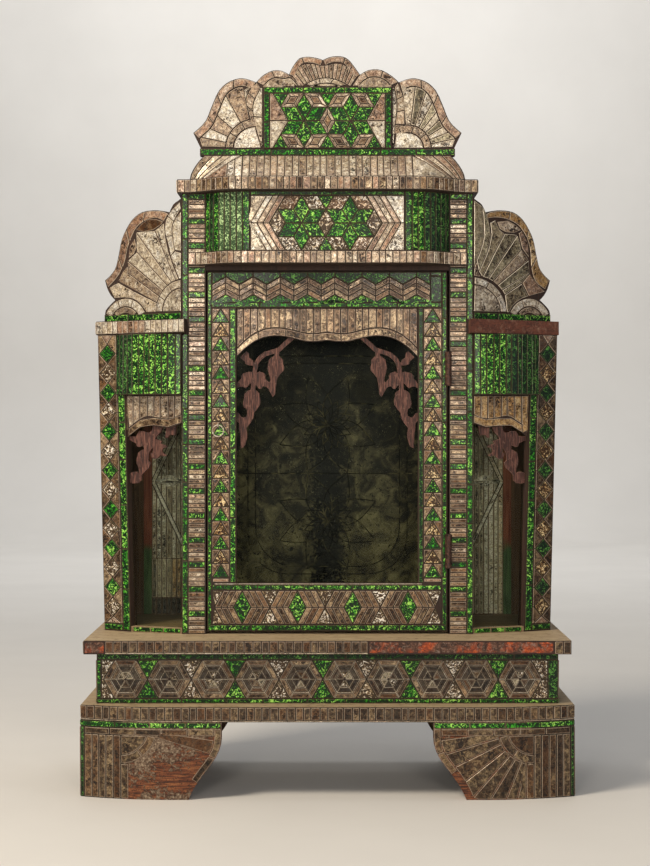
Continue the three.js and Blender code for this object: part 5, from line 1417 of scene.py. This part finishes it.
def top_star_panel():
    """Framed panel: two green stars, pale mitred lozenges between them, and at the sides pale half
    lozenges whose edges run on to the panel's corners."""
    face = flat_front(PANEL_LOW[1])
    low, high = PANEL_LOW, PANEL_HIGH
    frame_width = 9.6
    head, foot = high[2] - frame_width, low[2] + MARGIN
    middle, half_h = (foot + head) / 2, (head - foot) / 2
    half_w, side_edge = 34.7, high[0] - frame_width
    stars = [star((x, middle), half_w, half_h) for x in (-half_w, half_w)]
    rhombi, around = [np.concatenate(part) for part in zip(*stars)]
    between = centre_lozenge(half_w, half_h, middle, 0)
    strips, hearts = mitred(np.concatenate([around, [between]]), 5.0)
    corner_x = half_w * 7 / 3
    rows = [
        (rhombi, "green", 1.0),
        (strips, "silver"), (hearts, "tan"),
        (notch_triangles(half_w, half_h, middle, 0), "green", 1.0),
        (upright(low[0] + MARGIN, high[0] - MARGIN, head + 0.4, high[2] - MARGIN, 60), "green", 1.0),
    ]
    for sign in (-1, 1):
        edges = sorted((sign * (side_edge + 0.4), sign * (high[0] - MARGIN)))
        rows.append((stacked(*edges, low[2] + MARGIN, head, 40), "green", 1.0))
        for up in (-1, 1):
            half = np.array([(half_w * 5 / 3, 0), (2 * half_w, half_h / 2), (corner_x, half_h),
                             (side_edge, half_h), (side_edge, 0)]) * [sign, up] + [0, middle]
            corner = np.array([(2 * half_w, half_h / 2), (corner_x, half_h), (half_w * 5 / 3, half_h)])
            rows.append((half[None], "copper" if up > 0 else "pearl"))
            rows.append(((corner * [sign, up] + [0, middle])[None], "green", 1.0))
    lay("top_star_panel_glass", face, rows)


# Door

def triangle_column(x0, x1, foot, head, count=19):
    """Triangles standing in a column with pale corners beside each: green, foil and pale tiles."""
    edges = np.linspace(foot, head, count + 1)
    low, high = edges[:-1], edges[1:]
    middle = (x0 + x1) / 2
    shapes = (((x0 + 0.2, low), (x1 - 0.2, low), (middle, high - 0.2)),
              ((x0, low), (middle - 0.1, high), (x0, high)))
    triangles, left = [np.stack([np.c_[np.full(count, x), z] for x, z in shape], 1) for shape in shapes]
    right = mirrored(left) + [2 * middle, 0]
    foil = np.arange(count) % 2 == 1
    return triangles[~foil], triangles[foil], np.concatenate([left, right])


def door_frame_glass():
    """Glass on the door's frame: green borders, triangle columns, a zigzag head and a diamond foot."""
    face = flat_front(STILE_LOW[1])
    left, right = STILE_LOW[0], HINGE_STILE_HIGH[0]
    foot, head = STILE_LOW[2], STILE_HIGH[2]
    sight_foot, sight_head = FOOT_RAIL_HIGH[2], HEAD_RAIL_LOW[2]
    sight_left, sight_right = STILE_HIGH[0], HINGE_STILE_LOW[0]
    border = 6.4
    head_strip = sight_head + 7.6
    zig_foot = head_strip + 0.7
    inner_left, inner_right = left + border, right - border
    rows = [
        (stacked(left + 0.4, left + border, foot + 8.8, head_strip + 45, 70), "green", THIN),
        (stacked(right - border - 1, right - 0.6, foot + 8.8, head - 0.6, 70), "green", THIN),
        (upright(inner_left + 0.4, inner_right - 1.6, sight_head + 0.5, head_strip, 74), "green", THIN),
    ]
    for start, stop, kind in ((sight_left - 9.6, sight_left - 0.6, "green"),
                              (sight_right + 0.6, sight_right + 7.6, "deep")):
        rows.append((stacked(start, stop, sight_foot + 1, sight_head - 0.2, 92), kind, THIN))
    columns = [triangle_column(*sides, sight_foot + 8, sight_head - 1) for sides in
               ((inner_left + 0.6, sight_left - 10.2), (sight_right + 8.4, inner_right - 1.6))]
    for tiles, kind, thick in zip(zip(*columns), ("green", "gold", "tan"), (THIN, THIN, 0.8)):
        rows.append((np.concatenate(tiles), kind, thick))
    rows.append((cells([inner_left + 1.5, sight_right + 8.6], [sight_left - 11, inner_right - 2],
                       sight_foot + 1.5, sight_foot + 7.2), "copper", THIN))
    rows += zigzag_head((inner_left + 0.8, inner_right - 1.6), 152.0, head_strip + 0.4, zig_foot, head - 0.8)
    band_foot, band_head = foot + 10.5, sight_foot - 10.8
    rows += [
        (upright(left + 0.4, right - 0.6, foot + 0.6, foot + 9.4, 66), "green", THIN),
        (upright(inner_left + 0.4, inner_right - 1.6, band_head + 0.8, sight_foot - 2.6, 66), "green", THIN),
        (upright(inner_left + 4, sight_right + 6, sight_foot - 2.0, sight_foot - 0.2, 150), "pearl"),
    ]
    rows += foot_rail_rows(inner_left + 0.8, inner_right - 1.6, band_foot, band_head)
    lay("door_frame_glass", face, rows, body="door")


def zigzag_head(ends, zigzag_end, foot, zig_foot, head):
    """Zigzag of three strips along the door's head, with green glass under and over its teeth."""
    teeth, tooth, strip = 16, 11.5, 8.6
    across = np.linspace(ends[0], zigzag_end, teeth + 1)
    rise = np.where(np.arange(teeth + 1) % 2 == 1, tooth, 0.0)
    lower = np.c_[across, zig_foot + rise]
    zigzag = [[lower[i] + [0, k * strip], lower[i + 1] + [0, k * strip], lower[i + 1] + [0, (k + 1) * strip],
               lower[i] + [0, (k + 1) * strip]] for i in range(teeth) for k in range(3)]
    under = [[(across[i], foot), (across[i + 2], foot), lower[i + 2], lower[i + 1] - [0, 0.2], lower[i]]
             for i in range(0, teeth, 2)]
    upper = lower + [0, 3 * strip + 0.4]
    crest = upper[1, 1]
    over = [[upper[i - 1], upper[i], upper[i + 1], (across[i + 1], head), (across[i - 1], head)]
            for i in range(2, teeth, 2)]
    corners = [[upper[0], upper[1], (across[1], head), (across[0], head)],
               [upper[-2], upper[-1], (across[-1], head), (across[-2], head)]]
    dull = rng.random(len(zigzag)) < 0.35
    zigzag = np.array(zigzag)
    # The glass over the teeth and past the zigzag's end is dark green, partly painted shade under the lower
    # cornice
    return [(zigzag[~dull], "tan"), (zigzag[dull], "ash"),
            (np.array(under), "green", THIN), (np.array(over), "deep", THIN),
            (np.array(corners), "deep", THIN),
            (cells([zigzag_end + 0.5], [ends[1]], foot, crest + 0.5), "deep", THIN),
            (cells([zigzag_end + 0.5], [ends[1]], crest + 1.0, head), "deep", THIN)]


def foot_rail_rows(start, stop, foot, head):
    """Four green diamonds, each between chevron arms of three strips, foil triangles between."""
    middle, half = (foot + head) / 2, (head - foot) / 2
    pitch = 81.8
    centres = (start + stop) / 2 + pitch * (np.arange(4) - 1.5) - 2.7
    point, arm = 13.2, 9.2
    diamonds = [[(x, middle - half), (x + point, middle), (x, middle + half), (x - point, middle)]
                for x in centres]
    arms = {"ash": [], "tan": []}
    foil = []
    for x in centres:
        for side in (-1, 1):
            for sign in (-1, 1):
                for k in range(3):
                    near, far = k * arm, (k + 1) * arm
                    tile = [(x + side * (point + near), middle), (x + side * (point + far), middle),
                            (x + side * far, middle + sign * half), (x + side * near, middle + sign * half)]
                    arms["tan" if k != 1 else "ash"].append(tile)
                reach = pitch - 3 * arm
                inside = (x + side * reach - start) * (stop - x - side * reach) > 0
                if side > 0 or x == centres[0]:
                    far = x + side * (reach if inside else abs((stop if side > 0 else start) - x))
                    foil.append([(x + side * 3 * arm, middle + sign * half), (far, middle + sign * half),
                                 (x + side * (pitch / 2), middle + sign * 0.6)])
    return [(np.array(diamonds), "green", 1.2), (np.array(arms["ash"]), "ash"),
            (np.array(arms["tan"]), "tan"), (np.array(foil), "crinkle", 1.0)]


def door_valance_glass():
    """Valance of the door: strips above a shaped band."""
    points = points_of("door_valance")
    feet = limits(points[:, 0], points[:, 2])
    top = points[:, 2].max() - 0.4
    feet = feet[feet[:, 1] < top - 6]
    rows = valance_rows(feet, top, 11.8, 10.4, 7, 5, ("tan", "tan"))
    lay("door_valance_glass", flat_front(DOOR_VALANCE_FRONT), rows, body="door")


# Carving, finishes of the timber, niches and the mirror

def carving(node, body):
    """A fretted bracket: the frame's shape with its edges rounded over and finished pale, as rubbed wear and
    painted highlight.
    """
    source = NODES[node].data.copy()
    made = bpy.data.objects.new(node.replace("bracket", "carving"), source)
    bpy.context.scene.collection.objects.link(made)
    shape = bmesh.new()
    shape.from_mesh(source)
    bmesh.ops.remove_doubles(shape, verts=shape.verts, dist=1e-6)
    bmesh.ops.dissolve_limit(shape, angle_limit=0.02, verts=shape.verts, edges=shape.edges)
    shape.to_mesh(source)
    shape.free()
    source.materials.clear()
    source.materials.append(CARVED)
    source.materials.append(CARVED_EDGE)
    rounding = made.modifiers.new("rounding", "BEVEL")
    rounding.width = 0.9 * MM
    rounding.segments = 2
    rounding.limit_method = "ANGLE"
    rounding.material = 1
    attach(made, body)
    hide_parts(node)


def ribbon(path, width, height, out):
    """A half-round raised line along a path of points on a surface: rings of the profile carried along it."""
    path = np.asarray(path, float)
    run = np.gradient(path, axis=0)
    run /= np.linalg.norm(run, axis=1, keepdims=True)
    across = np.cross(run, out)
    profile = np.radians([0, 45, 90, 135, 180])
    rings = (path[:, None] + across[:, None] * (np.cos(profile) * width / 2)[None, :, None]
             + np.asarray(out)[None, None] * (np.sin(profile) * height)[None, :, None])
    count, sides = rings.shape[:2]
    number = np.arange(count * sides).reshape(count, sides)
    nxt = np.roll(number, -1, axis=1)
    quads = np.stack([number[:-1], nxt[:-1], nxt[1:], number[1:]], -1).reshape(-1, 4)
    faces = quads.tolist() + [number[0][::-1].tolist(), number[-1].tolist()]
    return rings.reshape(-1, 3), faces


def lines_piece(name, paths, width, height, out, materials):
    """One piece of ribbons along several paths."""
    points, faces, start = [], [], 0
    for path in paths:
        p, f = ribbon(path, width, height, out)
        points.append(p)
        faces += [[i + start for i in face] for face in f]
        start += len(p)
    return new_piece(name, np.vstack(points), faces, materials, "cabinet")


def dress_timber():
    """Finishes of the frame's own timber, glass and iron. A star stands for left and right."""
    for finish, names in (
            (FOOT_WOOD, "foot_front_*"),
            (BACK_WOOD, "foot_back_* frieze_back back_panel"),
            (ALTAR_WOOD, "altar_ledge"),
            (FLOOR_WOOD, "cabinet_floor"),
            (PUTTY, "frieze_front frieze_* lintel lower_cornice upper_cornice fascia_star_panel "
                    "fascia_drum_* roof_hood top_rail top_crest top_star_panel door_stile_* door_top_rail "
                    "door_bottom_rail door_valance wing_shelf_left pier_* corner_post_* wing_valance_* "
                    "wing_drum_* side_rail_* side_crest_*"),
            (RED_WOOD, "wing_side_* partition_*"),
            (SHELF_WOOD, "wing_shelf_right"),
            (MIRROR, "back_mirror"),
            (PANE, "door_glass wing_glass_*"),
            (IRON, "hinge_lower_pier_leaf hinge_upper_pier_leaf hinge_lower_door_leaf hinge_upper_door_leaf"),
            (RING_STEEL, "ring_eye pull_ring")):
        for name in {part.replace("*", hand) for part in names.split() for hand in HANDS.values()}:
            data = NODES[name].data
            data.materials.clear()
            data.materials.append(finish)


def niche_back(side):
    """Back of a wing's niche: upright grey strips, with two slanting bands that meet at the outer side, each
    laid over a wider black band as its painted shadow, a pair of bowed slips over them and a painted board at
    the outer end."""
    hand = HANDS[side]
    face = flat_front(BACK_LOW[1])
    over, above = raised_off(face, GLASS), raised_off(face, GLASS + 0.5)
    inner, outer = PARTITION_HIGH[0] + 1, 278.0
    low, high = FLOOR_HIGH[2] + 1, SHELF_LOW[2] - 1
    meet = np.array([276.0, 446.0])
    slants = {4.6: [], 3.0: []}
    for end in (np.array([238.0, 527.0]), np.array([228.0, 345.0])):
        run = (end - meet) / np.linalg.norm(end - meet)
        for half, tiles in slants.items():
            off = np.array([-run[1], run[0]]) * half
            tiles.append([meet + off, meet - off, end - off, end + off])
    bow = [spline([(270, meet[1]), (250, meet[1] + rise), (228, meet[1])]) for rise in (12, 0.8, -0.8, -9)]
    # The left niche's back is black along its foot, with ochre and clouded strips above that
    dark_foot_top, stained_to = (low + 26, low + 88) if side < 0 else (low, low)
    strips = upright(inner, outer, stained_to, high, 8.2)
    dull = rng.random(len(strips)) < 0.3
    rows = [(strips[~dull], "haze", 1.0), (strips[dull], "fog", 1.0),
            # The wider black bands under the slants are their painted shadow
            (np.array(slants[4.6]), "night", 0.5, over), (np.array(slants[3.0]), "haze", 0.8, above),
            (band(bow[0], bow[1], 1, 8), "haze", 0.9, over), (band(bow[2], bow[3], 1, 8), "haze", 0.9, over)]
    if side < 0:
        rows += [(upright(inner, outer, low, dark_foot_top, 7.4), "night", 1.0),
                 (upright(inner, inner + 30, dark_foot_top, stained_to, 7.4), "gilt", 1.0),
                 (upright(inner + 30, outer, dark_foot_top, stained_to, 7.4), "fog", 1.0)]
    lay(f"niche_back_{hand}_glass", face, rows, side)
    ends = np.sort(np.array([outer + 0.6, outer + 13]) * side)
    x, z = np.meshgrid(ends, [low, high])
    grid_piece(f"niche_{hand}_board", x, np.full(x.shape, BACK_LOW[1] - 0.6), z, RED_WOOD)


def petal_lines(centre, radius, petals, width):
    """Both sides of each petal of a flower, in x and level."""
    share = np.linspace(0, 1, 25)
    half = width * np.sin(np.pi * share ** 0.8)
    lines = []
    for turn in 2 * math.pi * (np.arange(petals) + 0.5) / petals:
        out, across = np.array([(math.cos(turn), math.sin(turn)), (-math.sin(turn), math.cos(turn))])
        for hand in (-1, 1):
            lines.append(centre + radius * share[:, None] * out + hand * half[:, None] * across)
    return lines


def mirror_flowers():
    """Two eight-petalled flowers, a border with round corners and the joint between the two sheets,
    in fine raised lines on the mirror."""
    y = MIRROR_LOW[1]
    lines = []
    for centre in ((0, 384.0), (0, 536.0)):
        lines += petal_lines(centre, 82.0, 8, 19.0) + petal_lines(centre, 40.0, 8, 9.0)
    foot, head = 300.0, 645.0
    for inset in (0, 12):
        half, corner = 126 - inset, 62.0
        for sign in (-1, 1):
            lower = arc((half - corner, foot + inset + corner), corner, -90, 0)
            upper = arc((half - corner, head - inset - corner), corner, 0, 90)
            lines.append(np.vstack([[(0, foot + inset)], lower, upper, [(0, head - inset)]]) * [sign, 1])
    lines.append(np.array([(-134.0, 459.0), (134.0, 459.0)]))
    paths = [np.c_[line[:, 0], np.full(len(line), y), line[:, 1]] for line in lines]
    lines_piece("mirror_flower_lines", paths, 1.5, 0.4, (0, -1, 0), [ETCHED])


# Stage, lamps and camera

# The photo's camera: metres from the ledge's front and over the floor, then its picture in pixels
CAMERA_DISTANCE = 2.7
CAMERA_HEIGHT = 0.5437
PICTURE_HEIGHT = 866
AXIS_RIGHT = 2.5
AXIS_UP = 13
FOCAL_PIXELS = 1888
SENSOR = 36


def studio_paper():
    """Pale matt paper with hardly any mottling."""
    made, tree, place = material("pale_studio_paper")
    base = add(tree, "ValToRGB", (mottle(tree, place, 400, 4),), stops=[(0.3, "#dedbd6"), (0.7, "#e4e1dc")])
    return surface(made, base, 0.9)


def backdrop():
    """A pale sweep: floor, a curve up, and a wall behind."""
    x = np.linspace(-14, 14, 5)
    bend = np.radians(np.linspace(0, 90, 13))
    curve = np.c_[5.4 + 0.8 * np.sin(bend), 0.8 - 0.8 * np.cos(bend)]
    profile = np.vstack([[(-7.0, 0.0), (5.4, 0.0)], curve, [(6.2, 6.0)]])
    points = np.array([(a, b, c) for b, c in profile for a in x])
    number = np.arange(len(points)).reshape(len(profile), len(x))
    faces = np.stack([number[:-1, :-1], number[:-1, 1:], number[1:, 1:], number[1:, :-1]], -1).reshape(-1, 4)
    mesh = bpy.data.meshes.new("studio_sweep")
    mesh.from_pydata(points.tolist(), [], faces.tolist())
    mesh.materials.append(studio_paper())
    mesh.polygons.foreach_set("use_smooth", [True] * len(mesh.polygons))
    made = bpy.data.objects.new("studio_sweep", mesh)
    bpy.context.scene.collection.objects.link(made)


def lamp(name, place, target, size, power, colour="#ffffff"):
    """A rectangular softbox at a place in metres, turned to a target, its power in watts."""
    light = bpy.data.lights.new(name, "AREA")
    light.shape = "RECTANGLE"
    light.size, light.size_y = size
    light.energy = power
    light.color = linear(colour)[:3]
    made = bpy.data.objects.new(name, light)
    bpy.context.scene.collection.objects.link(made)
    made.location = place
    way = np.array(target) - np.array(place)
    yaw = math.atan2(way[1], way[0]) - math.pi / 2
    pitch = math.atan2(way[2], math.hypot(way[0], way[1])) + math.pi / 2
    made.rotation_euler = (pitch, 0, yaw)


def studio():
    """Warm key from the upper left, two low front lamps, weak fill, and the photo's camera."""
    backdrop()
    lamp("key_softbox", (-1.5, -1.4, 2.5), (0, 0, 0.7), (0.8, 0.8), 66, "#fff1dc")
    lamp("left_front_softbox", (-0.5, -3.0, 0.9), (-0.2, 0, 0.5), (0.4, 0.5), 15.5, "#fff6ea")
    lamp("right_front_softbox", (0.5, -3.0, 0.9), (0.2, 0, 0.5), (0.4, 0.5), 12, "#fff6ea")
    lamp("wall_softbox", (0, 3.4, 3.8), (0, 6.2, 1.0), (3.0, 1.0), 110)
    lamp("fill_softbox", (2.4, -1.6, 1.3), (0, 0, 0.5), (1.2, 1.6), 5, "#f2f4ff")
    lamp("top_softbox", (0, 0.3, 2.8), (0, 0.1, 0.5), (1.6, 1.2), 14)
    world = bpy.data.worlds.new("studio_air")
    world.use_nodes = True
    air = world.node_tree.nodes["Background"].inputs
    air["Color"].default_value = linear("#dfe2e6")
    air["Strength"].default_value = 0.2
    bpy.context.scene.world = world
    bpy.context.scene.view_settings.view_transform = "Standard"
    camera = bpy.data.cameras.new("camera")
    camera.sensor_width = SENSOR
    camera.lens = FOCAL_PIXELS * SENSOR / PICTURE_HEIGHT
    camera.shift_x = -AXIS_RIGHT / PICTURE_HEIGHT
    camera.shift_y = -AXIS_UP / PICTURE_HEIGHT
    made = bpy.data.objects.new("camera", camera)
    bpy.context.scene.collection.objects.link(made)
    made.location = (0, LEDGE_LOW[1] * MM - CAMERA_DISTANCE, CAMERA_HEIGHT)
    made.rotation_euler = (math.pi / 2, 0, 0)
    bpy.context.scene.camera = made


dress_timber()
plinth_ledge()
frieze()
altar_ledge()
for side in (-1, 1):
    foot_glass(side)
    foot_returns(side)
    pier_glass(side)
    corner_post_glass(side)
    wing_front_glass(side)
    wing_top_glass(side)
    fascia_drum_glass(side)
    niche_back(side)
cornice_glass("lower_cornice", (0.2, 0.15))
cornice_glass("upper_cornice", (0.14, 0.4))
fascia_panel()
roof_glass()
top_crest_glass()
top_star_panel()
door_frame_glass()
door_valance_glass()
for hand in ("left", "right"):
    carving(f"door_bracket_{hand}", "door")
    carving(f"wing_bracket_{hand}", "cabinet")
mirror_flowers()
studio()
